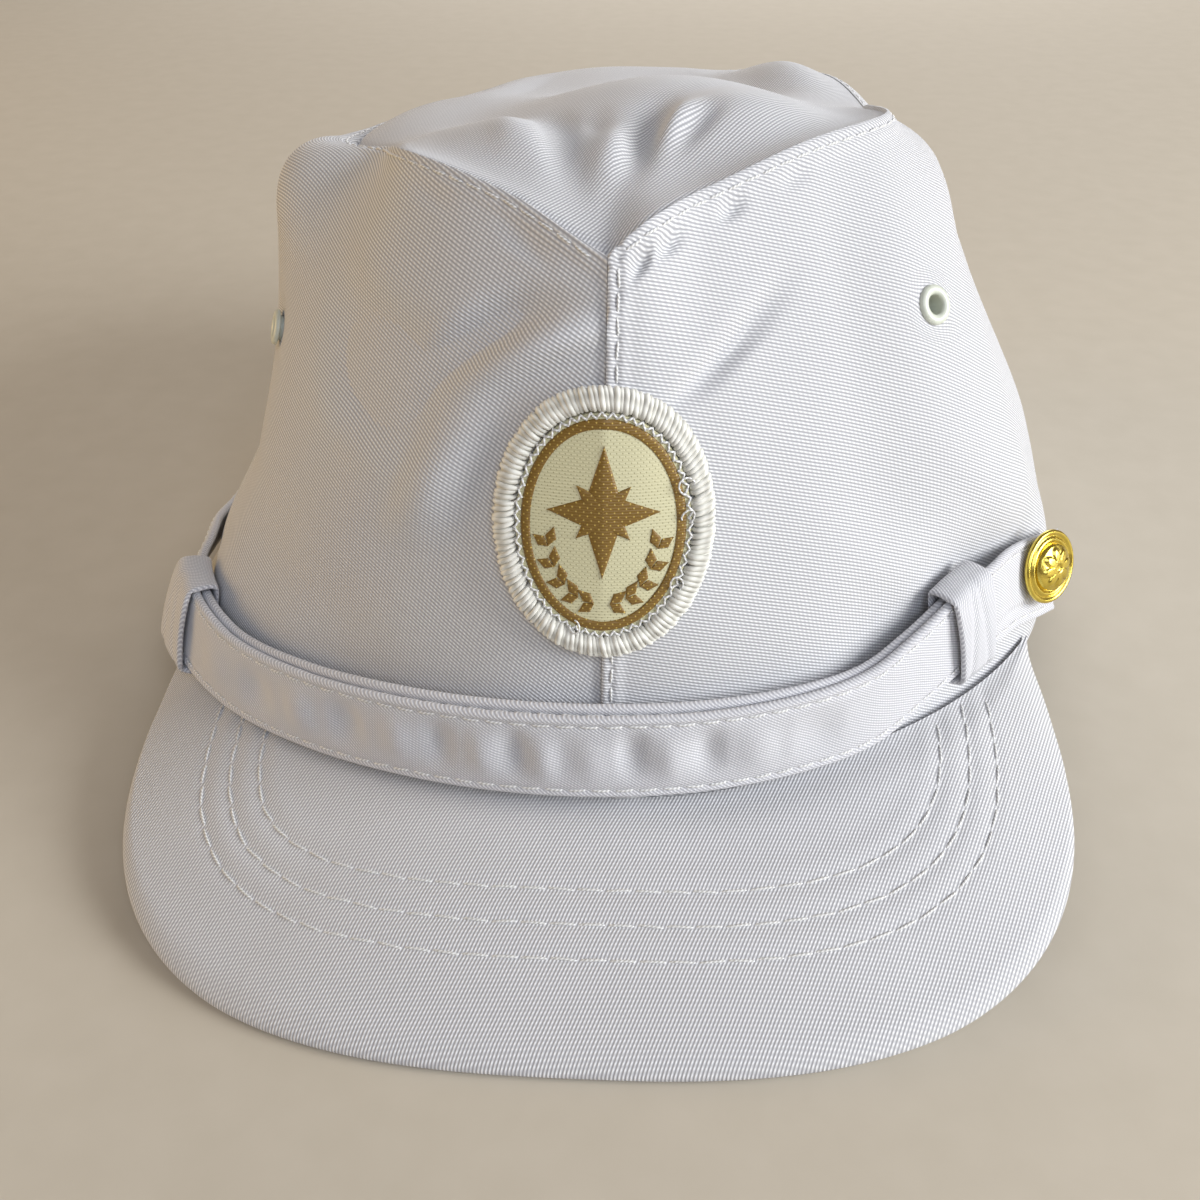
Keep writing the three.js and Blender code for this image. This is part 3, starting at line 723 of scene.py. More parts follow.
    def wall_normal(self, angle: Points, up: Points) -> Points:
        """Outward directions of the crown's wall.

        Args:
            angle: Degrees from the front.
            up: Part of the wall's height.

        Returns:
            Directions of length one.
        """
        angle, up = matched(angle, up)
        da = np.where(angle < 0, -0.2, 0.2)
        du = np.where(up > 0.5, -0.004, 0.004)
        here = self.wall(angle, up)
        along = (self.wall(angle + da, up) - here) * np.sign(da)[..., None]
        rise = (self.wall(angle, up + du) - here) * np.sign(du)[..., None]
        return unit(np.cross(along, rise))

    def seam_inward(self, angle: Points) -> Points:
        """From a side panel's outer face to its inner face along the top seam."""
        d = -self.seam_in * self.outwards(angle)
        d[..., 2] = -self.seam_down
        return self.tipped(d) * self.cloth * self.seam_stretch

    def cloth_inward(self, angle: Points, up: Points) -> Points:
        """From a side panel's outer face to its inner face.

        Args:
            angle: Degrees from the front.
            up: Part of the wall's height.

        Returns:
            Steps in millimetres.
        """
        angle, up = matched(angle, up)
        n = self.wall_normal(angle, up)
        front = step(8, 0, np.abs(angle))[..., None]
        middle = unit(n * np.array([0.0, 1.0, 1.0]))
        mixed = unit(n + (middle - n) * front)
        inward = mixed * (-self.cloth / np.maximum((mixed * n).sum(-1), 0.75))[..., None]
        inward[..., 2] *= 1 - step(0.06, 0, up)
        top = step(0.86, 1, up)[..., None]
        return inward + (self.seam_inward(angle) - inward) * top

    def up_at_height(self, angle: Points, height: Points) -> Points:
        """Part of the wall's height where the level cap has a height.

        Args:
            angle: Degrees from the front.
            height: Millimetres above the head ring.

        Returns:
            Parts of the wall's height.
        """
        angle, height = matched(angle, height)
        low, high = np.zeros(angle.shape), np.full(angle.shape, 0.85)
        for _ in range(40):
            mid = (low + high) / 2
            below = self.section(angle, mid)[1] < height
            low, high = np.where(below, mid, low), np.where(below, high, mid)
        return (low + high) / 2

    def strap_point(self, angle: Points, across: Points, depth: Points) -> Points:
        """Points of the chin strap.

        Args:
            angle: Degrees from the front.
            across: Place over the strap's width.
            depth: Distance out from the strap's path.

        Returns:
            Settled points.
        """
        angle, across, depth = matched(angle, across, depth)

        def path(a: Points) -> Points:
            """The strap's own path in the level cap."""
            p = self.outwards(a) * STRAP_ROWS.at("radius", a)[..., None]
            p[..., 2] = STRAP_ROWS.at("height", a)
            return p

        along = unit(path(angle + 0.5) - path(angle - 0.5))
        lean = np.radians(STRAP_ROWS.at("lean", angle))
        high = -self.outwards(angle) * np.sin(lean)[..., None]
        high[..., 2] = np.cos(lean)
        high = unit(high - along * (high * along).sum(-1, keepdims=True))
        out = unit(np.cross(along, high))
        return self.settle(path(angle) + high * across[..., None] + out * depth[..., None])

    def piece(self, name: str, shell: Shell, sharp_deg: float = 55.0) -> Piece:
        """Makes a smooth object from a shell.

        Args:
            name: Name of the piece.
            shell: Its surface, settled, in millimetres.
            sharp_deg: Edges that bend more than this stay sharp.

        Returns:
            The object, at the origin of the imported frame.
        """
        mesh = bpy.data.meshes.new(name)
        mesh.from_pydata(self.place(shell.points).tolist(), [], shell.faces)
        corner = np.zeros(len(mesh.loops), np.int32)
        mesh.loops.foreach_get("vertex_index", corner)
        layer = mesh.uv_layers.new(name=FLAT_MAP)
        layer.uv.foreach_set("vector", shell.flat[corner].astype(np.float32).ravel())
        bm = bmesh.new()
        bm.from_mesh(mesh)
        bmesh.ops.delete(bm, geom=[v for v in bm.verts if not v.link_faces], context="VERTS")
        bmesh.ops.remove_doubles(bm, verts=bm.verts, dist=1e-7)
        bmesh.ops.recalc_face_normals(bm, faces=bm.faces)
        bm.to_mesh(mesh)
        bm.free()
        mesh.shade_smooth()
        mesh.set_sharp_from_angle(angle=math.radians(sharp_deg))
        made = bpy.data.objects.new(name, mesh)
        bpy.context.scene.collection.objects.link(made)
        return made


@dataclass(frozen=True)
class Finish:
    """A finish: its name, and the shader values that are the same all over."""

    name: str
    roughness: float = 0.8

    def constants(self) -> dict:
        """Values for the shader's own sockets."""
        return {"Roughness": self.roughness}

    def paint(self, tree: Tree) -> dict:
        """Patterns for the shader's sockets."""
        return {}

    def material(self) -> bpy.types.Material:
        """The finish's material, made once.

        Returns:
            The material.
        """
        known = bpy.data.materials.get(self.name)
        if known:
            return known
        made = bpy.data.materials.new(self.name)
        made.use_nodes = True
        tree = made.node_tree
        tree.nodes.clear()
        values = {**self.constants(), **self.paint(tree)}
        shader = add_node(tree, "ShaderNodeBsdfPrincipled", {}, values)
        add_node(tree, "ShaderNodeOutputMaterial", {}, {"Surface": shader.outputs["BSDF"]})
        return made


@dataclass(frozen=True)
class Twill(Finish):
    """Bleached cotton twill, woven in steep ribs of short floats.

    The eye sees fine parallel ribs with beads along them, bright crests over furrows painted grey as
    shade, and a matt surface with a slight bloom of fibres. The ribs are half a millimetre apart.
    """

    name: str = "white_cotton_twill"
    roughness: float = 0.86
    crest: str = "#f6f6f5"
    # Painted shade: the grey of the furrows and of the gaps between floats.
    painted_furrow_shade: str = "#a3a3a7"
    shade: str = "#ebebec"
    rib_mm: float = 0.5
    rib_stray: float = 0.9
    float_mm: float = 0.6
    float_stray: float = 0.7
    float_turn_deg: float = 62.0
    float_share: float = 0.42
    slub_mm: float = 7.0
    cloud_mm: float = 26.0
    depth_mm: float = 0.13
    strength: float = 0.6

    def constants(self) -> dict:
        """Values for the shader's own sockets."""
        bloom = {"Sheen Weight": 0.18, "Sheen Roughness": 0.45}
        return {"Roughness": self.roughness, "Specular IOR Level": 0.25, **bloom}

    def paint(self, tree: Tree) -> dict:
        """Ribs, floats along them, slubs and faint clouds, with painted shade in the furrows and between
        floats.

        Args:
            tree: The material's node tree.

        Returns:
            Patterns for the shader's sockets.
        """
        cloth = flat_place(tree)
        slubs = {"Detail": 1.0, "Detail Scale": 1 / (self.slub_mm * wave_scale(self.rib_mm))}
        ribs = bands(tree, cloth, self.rib_mm, self.rib_stray, slubs=slubs)
        floats = bands(tree, cloth, self.float_mm, self.float_stray, self.float_turn_deg)
        beads = worked(tree, "MULTIPLY_ADD", floats, self.float_share, 1 - self.float_share)
        weave = worked(tree, "MULTIPLY", ribs, beads)
        crest = blended(tree, mottle(tree, cloth, self.cloud_mm, 3.0), self.crest, self.shade)
        # Painted shade: the colour falls to the furrow grey in the weave's furrows and between floats.
        colour = blended(tree, weave, self.painted_furrow_shade, crest)
        return {"Base Color": colour, "Normal": pressed(tree, weave, self.strength, self.depth_mm)}


@dataclass(frozen=True)
class Thread(Finish):
    """White spun polyester thread: two twisted plies, so the eye sees slanting ridges with painted shade
    between them, and a soft gloss.
    """

    name: str = "white_polyester_thread"
    roughness: float = 0.55
    light: str = "#eeeeed"
    # Painted shade: the grey of the grooves between the plies.
    painted_ply_shade: str = "#bfbeba"
    ply_mm: float = 0.55
    ply_stray: float = 0.6
    slant_deg: float = 35.0
    depth_mm: float = 0.05
    strength: float = 0.5

    def constants(self) -> dict:
        """Values for the shader's own sockets."""
        return {"Roughness": self.roughness, "Sheen Weight": 0.15, "Specular IOR Level": 0.45}

    def paint(self, tree: Tree) -> dict:
        """Slanting plies, with painted shade in the grooves between them."""
        plies = bands(tree, flat_place(tree), self.ply_mm, self.ply_stray, self.slant_deg, "X")
        # Painted shade: the grooves between the plies get the grey.
        colour = blended(tree, plies, self.painted_ply_shade, self.light)
        return {"Base Color": colour, "Normal": pressed(tree, plies, self.strength, self.depth_mm)}


@dataclass(frozen=True)
class Woven(Finish):
    """Jacquard satin of rayon threads: close filling threads with binding points in staggered rows.

    The eye sees a silky ground with fine dots, 0.45 mm apart on the ivory ground and a little
    wider on the gold, where the pale warp shows through.
    """

    ground: str = "#cfcaa4"
    dot: str = "#a59e76"
    thread_mm: float = 0.45
    dot_mm: float = 0.62
    dot_share: float = 0.45
    sheen: float = 0.3
    stray: float = 0.5
    dot_turn_deg: float = 48.0
    depth_mm: float = 0.06
    strength: float = 0.6

    def constants(self) -> dict:
        """Values for the shader's own sockets."""
        return {"Roughness": self.roughness, "Sheen Weight": self.sheen, "Specular IOR Level": 0.5}

    def paint(self, tree: Tree) -> dict:
        """Filling threads crossed by rows of binding dots.

        Args:
            tree: The material's node tree.

        Returns:
            Patterns for the shader's sockets.
        """
        flat = flat_place(tree)
        filling = bands(tree, flat, self.thread_mm, self.stray)
        turns = (self.dot_turn_deg, -self.dot_turn_deg)
        rows = [bands(tree, flat, self.dot_mm, self.stray, turn) for turn in turns]
        dots = worked(tree, "MULTIPLY", *rows)
        span = {"Value": dots, "From Min": 1 - self.dot_share, "From Max": 1.0}
        smooth = {"interpolation_type": "SMOOTHSTEP"}
        shown = add_node(tree, "ShaderNodeMapRange", smooth, span).outputs["Result"]
        height = worked(tree, "SUBTRACT", filling, shown)
        colour = blended(tree, shown, self.ground, self.dot)
        return {"Base Color": colour, "Normal": pressed(tree, height, self.strength, self.depth_mm)}


@dataclass(frozen=True)
class GiltBrass(Finish):
    """Stamped brass with a bright gilt wash: a warm yellow metal with fine handling marks."""

    name: str = "gilt_stamped_brass"
    roughness: float = 0.24
    bright: str = "#f0dc72"
    worn: str = "#cdb044"
    mark_mm: float = 1.6
    depth_mm: float = 0.08
    strength: float = 0.35

    def constants(self) -> dict:
        """Values for the shader's own sockets."""
        return {"Metallic": 1.0, "Roughness": self.roughness}

    def paint(self, tree: Tree) -> dict:
        """Uneven wash and small dents from the die."""
        marks = mottle(tree, flat_place(tree), self.mark_mm, 4.0)
        colour = blended(tree, marks, self.worn, self.bright)
        return {"Base Color": colour, "Normal": pressed(tree, marks, self.strength, self.depth_mm)}


@dataclass(frozen=True)
class Enamel(Finish):
    """Stoved white enamel on pressed steel: smooth, a little creamy, glossier than the cloth."""

    name: str = "white_stoved_enamel"
    roughness: float = 0.38
    pale: str = "#d6dacc"
    grey: str = "#c2c6b8"
    speck_mm: float = 0.8

    def constants(self) -> dict:
        """Values for the shader's own sockets."""
        return {"Roughness": self.roughness, "Coat Weight": 0.25, "Coat Roughness": 0.2}

    def paint(self, tree: Tree) -> dict:
        """Faint unevenness of the coat."""
        specks = mottle(tree, flat_place(tree), self.speck_mm, 2.0)
        return {"Base Color": blended(tree, specks, self.grey, self.pale)}


@dataclass(frozen=True)
class PaperFloor(Finish):
    """Pale matt backdrop paper with a faint fibre mottle."""

    name: str = "pale_backdrop_paper"
    roughness: float = 0.95
    pale: str = "#c9c0b0"
    fibre: str = "#c0b7a6"
    fibre_mm: float = 9.0

    def paint(self, tree: Tree) -> dict:
        """Fibre mottle."""
        place = add_node(tree, "ShaderNodeTexCoord").outputs["Object"]
        fibres = mottle(tree, place, self.fibre_mm * MM, 4.0)
        return {"Base Color": blended(tree, fibres, self.pale, self.fibre)}


TWILL = Twill()
# The strap is cut from a finer twill, so it looks smoother and lighter than the crown; its furrows get a
# paler painted shade.
STRAP_TWILL = Twill(
    "white_cotton_strap_twill",
    crest="#e9e9ea",
    # Painted shade in the furrows, paler than on the crown.
    painted_furrow_shade="#b0b0b6",
    rib_mm=0.42,
    float_mm=0.5,
    depth_mm=0.1,
)
THREAD = Thread()
# Thicker, softly twisted and unbleached, so the border looks creamier than the seams; the grooves between
# its plies get painted shade.
BORDER = Thread("cream_embroidery_thread", 0.5, light="#ebeae1", painted_ply_shade="#c9c7bd", ply_mm=1.6)
IVORY = Woven("ivory_jacquard_satin", 0.55)
# Looser than the ground, so the pale warp shows between the gold threads.
GOLD = Woven(
    "gold_jacquard_thread",
    0.42,
    ground="#7a5b16",
    dot="#c8ac56",
    thread_mm=0.4,
    dot_mm=0.8,
    dot_share=0.34,
    sheen=0.2,
)
GILT = GiltBrass()
ENAMEL = Enamel()


def finished(piece: Piece, finish: Finish, slot: Slot, *nodes: str) -> Piece:
    """Gives a piece its finish, hangs it under the root body and hides the solids that it stands for.

    Args:
        piece: The piece.
        finish: Its finish.
        slot: The record's slot of that finish; not used.
        nodes: The solids that it stands for.

    Returns:
        The piece.
    """
    piece.data.materials.clear()
    piece.data.materials.append(finish.material())
    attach(piece, "root")
    if nodes:
        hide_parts(*nodes)
    LOG.info("%s: %d faces, %s", piece.name, len(piece.data.polygons), finish.name)
    return piece


class Cloth(NamedTuple):
    """A sheet of cloth and its flat cut: width, length and area, in millimetres."""

    piece: Piece
    wide: float
    long: float
    area: float

    @staticmethod
    def cut(piece: Piece, shell: Shell, plan: Points) -> "Cloth":
        """The cut of a piece.

        Args:
            piece: The piece.
            shell: The surface that it was made from.
            plan: Where its points lay in the flat cloth.

        Returns:
            The sheet with its cut.
        """
        wide, long = np.ptp(plan.reshape(-1, 2), axis=0)
        return Cloth(piece, float(wide), float(long), shell.flat_area())

    def declare(self, hold: Hold, rests_on: tuple[str, ...] = (), extras: list | None = None) -> None:
        """Logs the sheet's cut.

        Args:
            hold: How it is held; not used.
            rests_on: Names of what carries it; not used.
            extras: Threads and trims that go with it; not used.
        """
        LOG.info("%s: cut %.0f by %.0f mm, %.0f mm2", self.piece.name, self.wide, self.long, self.area)


@dataclass(frozen=True)
class StitchRow:
    """A row of lockstitches: pitch, visible length, thread radius and how far it stands up."""

    pitch: float = 3.2
    stitch: float = 2.65
    thread_r: float = 0.19
    bow: float = 0.1
    rings: int = 9
    stray_deg: float = 5.0
    seed: int = 7

    def shell(self, path: Points, normal: Points) -> Shell:
        """Stitches along a path on the cloth.

        Args:
            path: Points on the cloth, close together.
            normal: Outward directions there.

        Returns:
            The stitches.
        """
        run = np.concatenate([[0], np.cumsum(np.linalg.norm(np.diff(path, axis=0), axis=1))])
        count = int((run[-1] - self.stitch) // self.pitch) + 1
        draw = np.random.default_rng(self.seed)
        t = np.linspace(0, 1, self.rings)[None]
        at = np.arange(count)[:, None] * self.pitch + t * self.stitch

        def along(values: Points) -> Points:
            """Values of the path at each ring of each stitch."""
            return np.stack([np.interp(at, run, values[:, k]) for k in range(3)], -1)

        centre, out = along(path), unit(along(normal))
        side = unit(np.cross(out, np.gradient(centre, axis=1)))
        stray = np.tan(np.radians(draw.uniform(-self.stray_deg, self.stray_deg, count)))[:, None]
        end = (2 * t - 1) ** 4
        centre = centre + side * (stray * (t - 0.5) * self.stitch)[..., None]
        centre = centre + out * (self.bow * (1 - 3.2 * end))[..., None]
        radius = np.broadcast_to(self.thread_r * (1 - 0.3 * end), centre.shape[:2])
        return tube_shell(centre, out, radius)


@dataclass(frozen=True)
class Eyelet:
    """An air eyelet: a rolled ring that holds the edge of a hole in the crown."""

    form: CapForm
    angle: float
    height: float
    radius: float = 3.1
    barrel_r: float = 2.1
    hole_r: float = 1.5
    rise: float = 0.8

    def place(self) -> Place:
        """Where it stands on the wall."""
        up = self.form.up_at_height(self.angle, self.height)
        return Place.at(self.form.wall(self.angle, up), self.form.wall_normal(self.angle, up))

    def build(self, name: str, node: str) -> Piece:
        """Turns the ring: a rolled lip outside, a barrel, and a flat curl inside.

        Args:
            name: Name of the piece.
            node: The solid that it stands for.

        Returns:
            The ring.
        """
        gap, low = self.form.gap, -self.form.cloth - self.form.gap
        mid, half = (self.radius + self.hole_r) / 2, (self.radius - self.hole_r) / 2
        turn = np.linspace(math.pi, 0, 14)
        lip = np.stack([mid + half * np.cos(turn), gap + self.rise * np.sin(turn) ** 0.8], -1)
        under = [(self.radius - 0.15, gap * 0.6), (self.barrel_r, gap * 0.6), (self.barrel_r, low)]
        curl = [(self.radius - 0.3, low), (self.radius - 0.6, low - 0.5), (self.hole_r, low - 0.5)]
        profile = np.concatenate([lip, np.array(under + curl)])
        made = self.form.piece(name, lathe_shell(profile, self.place(), 48), 70)
        return finished(made, ENAMEL, Slot.ENAMEL, node)


@dataclass(frozen=True)
class Crown:
    """The two side panels with their welts, seams, small creases and topstitching."""

    form: CapForm
    eyelets: dict[Side, Eyelet]
    front_welt: float = 1.5
    top_welt: dict[Side, float] = field(default_factory=lambda: {Side.RIGHT: 1.7, Side.LEFT: 1.35})
    welt_rise: float = 0.4
    welt_fade: float = 2.4
    groove: float = 0.3
    groove_half: float = 0.5
    dip: float = 0.3
    dip_reach: tuple[float, ...] = (1.5, 7.0)
    ripple: float = 0.16
    seam_room: float = 0.04
    cone_r: float = 200.0
    rib_deg: dict[Side, float] = field(default_factory=lambda: {Side.RIGHT: -10.0, Side.LEFT: -43.0})
    puckers: tuple[Dent, ...] = (
        Dent(3.3, 4.4, 1.5, 2.6, -1.4),
        Dent(6.4, 4.4, 1.7, 2.6, -1.5),
        Dent(14.3, 4.0, 2.2, 2.4, -1.2),
        Dent(24, 4.0, 3, 2.2, -0.5),
        Dent(-9, 5, 4, 3, -0.5),
        Dent(-22, 4.6, 4, 2.4, -0.35),
    )
    creases: tuple[SideFold, ...] = (
        SideFold(-7.6, 0.8, 3.6, 0.13, 75, 2.5),
        SideFold(-13.2, 0.8, 4.2, 0.13, 75, -2.2),
        SideFold(-17, 0.57, 5, 0.16, 25, 2.2),
        SideFold(-27, 0.69, 15, 0.14, 0, -3.0),
        SideFold(13.4, 0.775, 4, 0.085, 100, -1.8),
        SideFold(36, 0.78, 9, 0.25, 0, 0.8),
        SideFold(52, 0.72, 10, 0.25, 0, -0.8),
        SideFold(2.4, 0.028, 2.2, 0.026, 0, 2.0),
    )
    hole_r: float = 1.8
    hole_cells: float = 0.6
    hole_dip: float = 0.35
    stretch_r: float = 6.0
    fine_r: float = 5.0
    fine_count: int = 26
    wall_tall: float = 95.0
    seam_step: float = 0.06

    def seam_slope(self, angle: Points) -> Points:
        """Millimetres per part of the wall's height, next to the top seam."""
        reach = self.form.wall(angle, 1.0) - self.form.wall(angle, 1 - self.seam_step)
        return np.linalg.norm(reach, axis=-1) / self.seam_step

    def relief(self, angle: Points, up: Points) -> Points:
        """How far the sewn cloth stands out from the plain wall.

        Args:
            angle: Degrees from the front.
            up: Part of the wall's height.

        Returns:
            Millimetres, minus where the cloth dips.
        """
        radius, _ = self.form.section(angle, up)
        right = angle > 0
        front = radius * np.radians(np.abs(angle))
        back = radius * np.radians(180 - np.abs(angle))
        below = (1 - up) * self.seam_slope(angle)
        total = np.zeros(np.broadcast(angle, up).shape)
        top = np.where(right, self.top_welt[Side.RIGHT], self.top_welt[Side.LEFT])
        seams = ((front, self.front_welt, right), (back, self.front_welt, right), (below, top, True))
        for distance, welt, on in seams:
            fade = step(0, 1, (welt + self.welt_fade - distance) / self.welt_fade)
            lap = self.welt_rise * step(-0.3, 0.5, distance) * fade * self.form.in_sight(angle)
            sewn = self.groove * bell((distance - welt) / self.groove_half)
            total = total + np.where(on, lap - sewn, 0)
        for distance in (front, back):
            under = self.dip * sum(bell(distance / reach) for reach in self.dip_reach)
            total = total - np.where(right, 0, under * step(0.4, 3, below))
        total = total + sum(p.at(angle, below) for p in self.puckers)
        total = total + sum(f.at(angle, up) for f in self.creases)
        waves = np.sin(angle * 0.31 + 7 * up) * np.sin(angle * 0.13 - 11 * up + 1.3)
        return total + self.ripple * waves * step(0, 0.08, up) * step(0, 4, below)

    def face(self, angle: Points, up: Points) -> Points:
        """Points of the sewn outer face."""
        inward = self.form.cloth_inward(angle, up)
        return self.form.wall(angle, up) - unit(inward) * self.relief(angle, up)[..., None]

    def flat(self, angle: Points, up: Points, side: Side) -> Points:
        """Where each point of a panel lay in the flat cloth, unrolled as part of a cone.

        Args:
            angle: Degrees from the front, as a column.
            up: Parts of the wall's height, as a row.
            side: Which side.

        Returns:
            Places in the flat cloth.
        """
        grid = self.form.wall(angle, up)
        hem = np.linalg.norm(np.diff(grid[:, :1], axis=0, prepend=grid[:1, :1]), axis=-1).cumsum(0)
        rise = np.linalg.norm(np.diff(grid, axis=1, prepend=grid[:, :1]), axis=-1).cumsum(1)
        if side is Side.LEFT:
            hem = hem - hem[-1]
        turn = hem / self.cone_r
        reach = self.cone_r - rise
        return np.stack([reach * np.sin(turn), self.cone_r - reach * np.cos(turn)], -1)

    def net(self, side: Side) -> tuple[Points, Points]:
        """Angles and heights of a panel's net, closer together at the seams and at the eyelet.

        Args:
            side: Which side.

        Returns:
            Angles as a column and parts of the height as a row.
        """
        eyelet = self.eyelets[side]
        edge = math.degrees(self.seam_room / self.form.ring_front)
        ends = [np.linspace(edge, 5, 26), np.linspace(176.2, 180 - edge, 16)]
        turn = np.concatenate([ends[0], np.linspace(5.8, 175.5, 180), ends[1]])
        up = np.concatenate([np.linspace(0, 0.9, 64), np.linspace(0.908, 1, 18)])
        spot, mid = abs(eyelet.angle), float(self.form.up_at_height(eyelet.angle, eyelet.height))
        radius, _ = self.form.section(eyelet.angle, mid)
        wide, tall = math.degrees(self.fine_r / float(radius)), self.fine_r / self.wall_tall

        def finer(places: Points, middle: float, reach: float) -> Points:
            """Places with closer ones round a middle."""
            close = np.linspace(middle - reach, middle + reach, self.fine_count)
            return np.sort(np.concatenate([places[np.abs(places - middle) > reach], close]))

        turn, up = finer(turn, spot, wide), finer(up, mid, tall)
        return (turn if side is Side.RIGHT else -turn[::-1])[:, None], up[None]

    def panel(self, side: Side) -> Cloth:
        """Builds one side panel with its eyelet's hole.

        Args:
            side: Which side.

        Returns:
            The panel.
        """
        eyelet = self.eyelets[side]
        angle, up = self.net(side)
        face = self.face(angle, up)
        back = self.form.wall(angle, up) + self.form.cloth_inward(angle, up)
        spot = eyelet.place()
        away = face - spot.origin
        away = away - spot.axis * (away @ spot.axis)[..., None]
        off = np.linalg.norm(away, axis=-1)
        push = unit(away) * (self.hole_r * np.clip(1 - off / self.stretch_r, 0, 1))[..., None]
        near = np.linalg.norm(face - spot.origin, axis=-1) < 2 * self.stretch_r
        dip = self.hole_dip * bell(off / self.fine_r) * near
        push = push * near[..., None] - spot.axis * dip[..., None]
        middle = (off[:-1, :-1] + off[1:, 1:]) / 2
        keep = ~((middle < self.hole_cells) & near[:-1, :-1])
        apart = self.seam_room
        for grid in (face, back):
            grid += push
            x = grid[..., 0]
            grid[..., 0] = np.maximum(x, apart) if side is Side.RIGHT else np.minimum(x, -apart)
        plan = self.flat(angle, up, side)
        shell = sheet_shell(face, back, turned_flat(plan, self.rib_deg[side]), keep)
        made = self.form.piece(f"cloth_side_{side.word}", shell)
        finished(made, TWILL, Slot.TWILL, f"side_panel_{side.word}")
        return Cloth.cut(made, shell, plan)

    def stitches(self, side: Side) -> Piece:
        """Topstitching of one panel: below the top seam, and on the right panel beside both seams.

        Args:
            side: Which side.

        Returns:
            The stitches.
        """
        turn = np.linspace(1.8, 178, 700) * side.value
        rows = [(turn, 1 - self.top_welt[side] / self.seam_slope(turn))]
        if side is Side.RIGHT:
            up = np.linspace(0.965, 0.12, 300)
            for seam, way in ((0.0, 1), (180.0, -1)):
                radius, _ = self.form.section(seam, up)
                rows.append((seam + way * np.degrees(self.front_welt / radius), up))
        shells = []
        for k, (angle, part) in enumerate(rows):
            normal = self.form.wall_normal(angle, part)
            shells.append(StitchRow(seed=k + 3).shell(self.face(angle, part) + 0.06 * normal, normal))
        made = self.form.piece(f"thread_side_{side.word}", Shell.joined(shells), 80)
        return finished(made, THREAD, Slot.THREAD)


@dataclass(frozen=True)
class TopPanel:
    """The boat-shaped top, gathered towards its front tip."""

    form: CapForm
    rib_deg: float = 55.0
    gathers: tuple[TopFold, ...] = (
        TopFold(-16, -50, 12, 4, 104, 0.8),
        TopFold(-0.4, -54, 19, 3.6, 88, 1.4),
        TopFold(8.5, -49.5, 11, 3, 71, 1.4),
        TopFold(12.2, -49.3, 9, 2.8, 60, -1.4),
        TopFold(-24, 22, 30, 7, 80, 1.0),
        TopFold(22, 34, 26, 8, 100, -1.0),
        TopFold(35, 10, 18, 12, 105, 2.2),
    )
    seam_room: float = 0.08
    edge_dip: float = 0.5
    edge_half: float = 1.0

    def point(self, angle: Points, part: Points) -> Points:
        """Points of the top.

        Args:
            angle: Degrees from the front.
            part: 1 at the seam and 0 in the middle.

        Returns:
            Settled points.
        """
        seam = self.form.wall_level(angle, np.ones_like(part))
        mid, sewn = self.form.top_mid, part**self.form.top_full
        p = seam * part[..., None]
        p[..., 2] = mid + (seam[..., 2] - mid) * sewn
        folds = sum(f.at(p[..., 0], p[..., 1]) for f in (*TOP_FOLDS, *self.gathers))
        p[..., 2] += folds * (1 - sewn)
        return self.form.settle(p)

    def build(self) -> Cloth:
        """Builds the panel from its seam to its middle.

        Returns:
            The panel.
        """
        around = np.linspace(-180, 180, 288, endpoint=False)[:, None]
        part = np.concatenate([np.linspace(1, 0.93, 9), np.linspace(0.912, 0, 52)])[None]
        around, part = np.broadcast_arrays(around, part)
        seam = self.form.wall_level(around, np.ones_like(part))[..., :2]
        reach = np.linalg.norm(seam, axis=-1)
        below = self.form.tipped([0.0, 0.0, -self.form.cloth])
        inward = below + (self.form.seam_inward(around) - below) * step(0.85, 1, part)[..., None]
        face = self.point(around, part * (1 - self.seam_room / reach))
        back = face + inward
        dip = self.edge_dip * bell((1 - part) * reach / self.edge_half) * self.form.in_sight(around)
        face = face + unit(inward) * dip[..., None]
        plan = seam * part[..., None]
        shell = sheet_shell(face, back, turned_flat(plan, self.rib_deg), ring=True, pole=True)
        made = finished(self.form.piece("cloth_top", shell), TWILL, Slot.TWILL, "top_panel")
        return Cloth.cut(made, shell, plan)


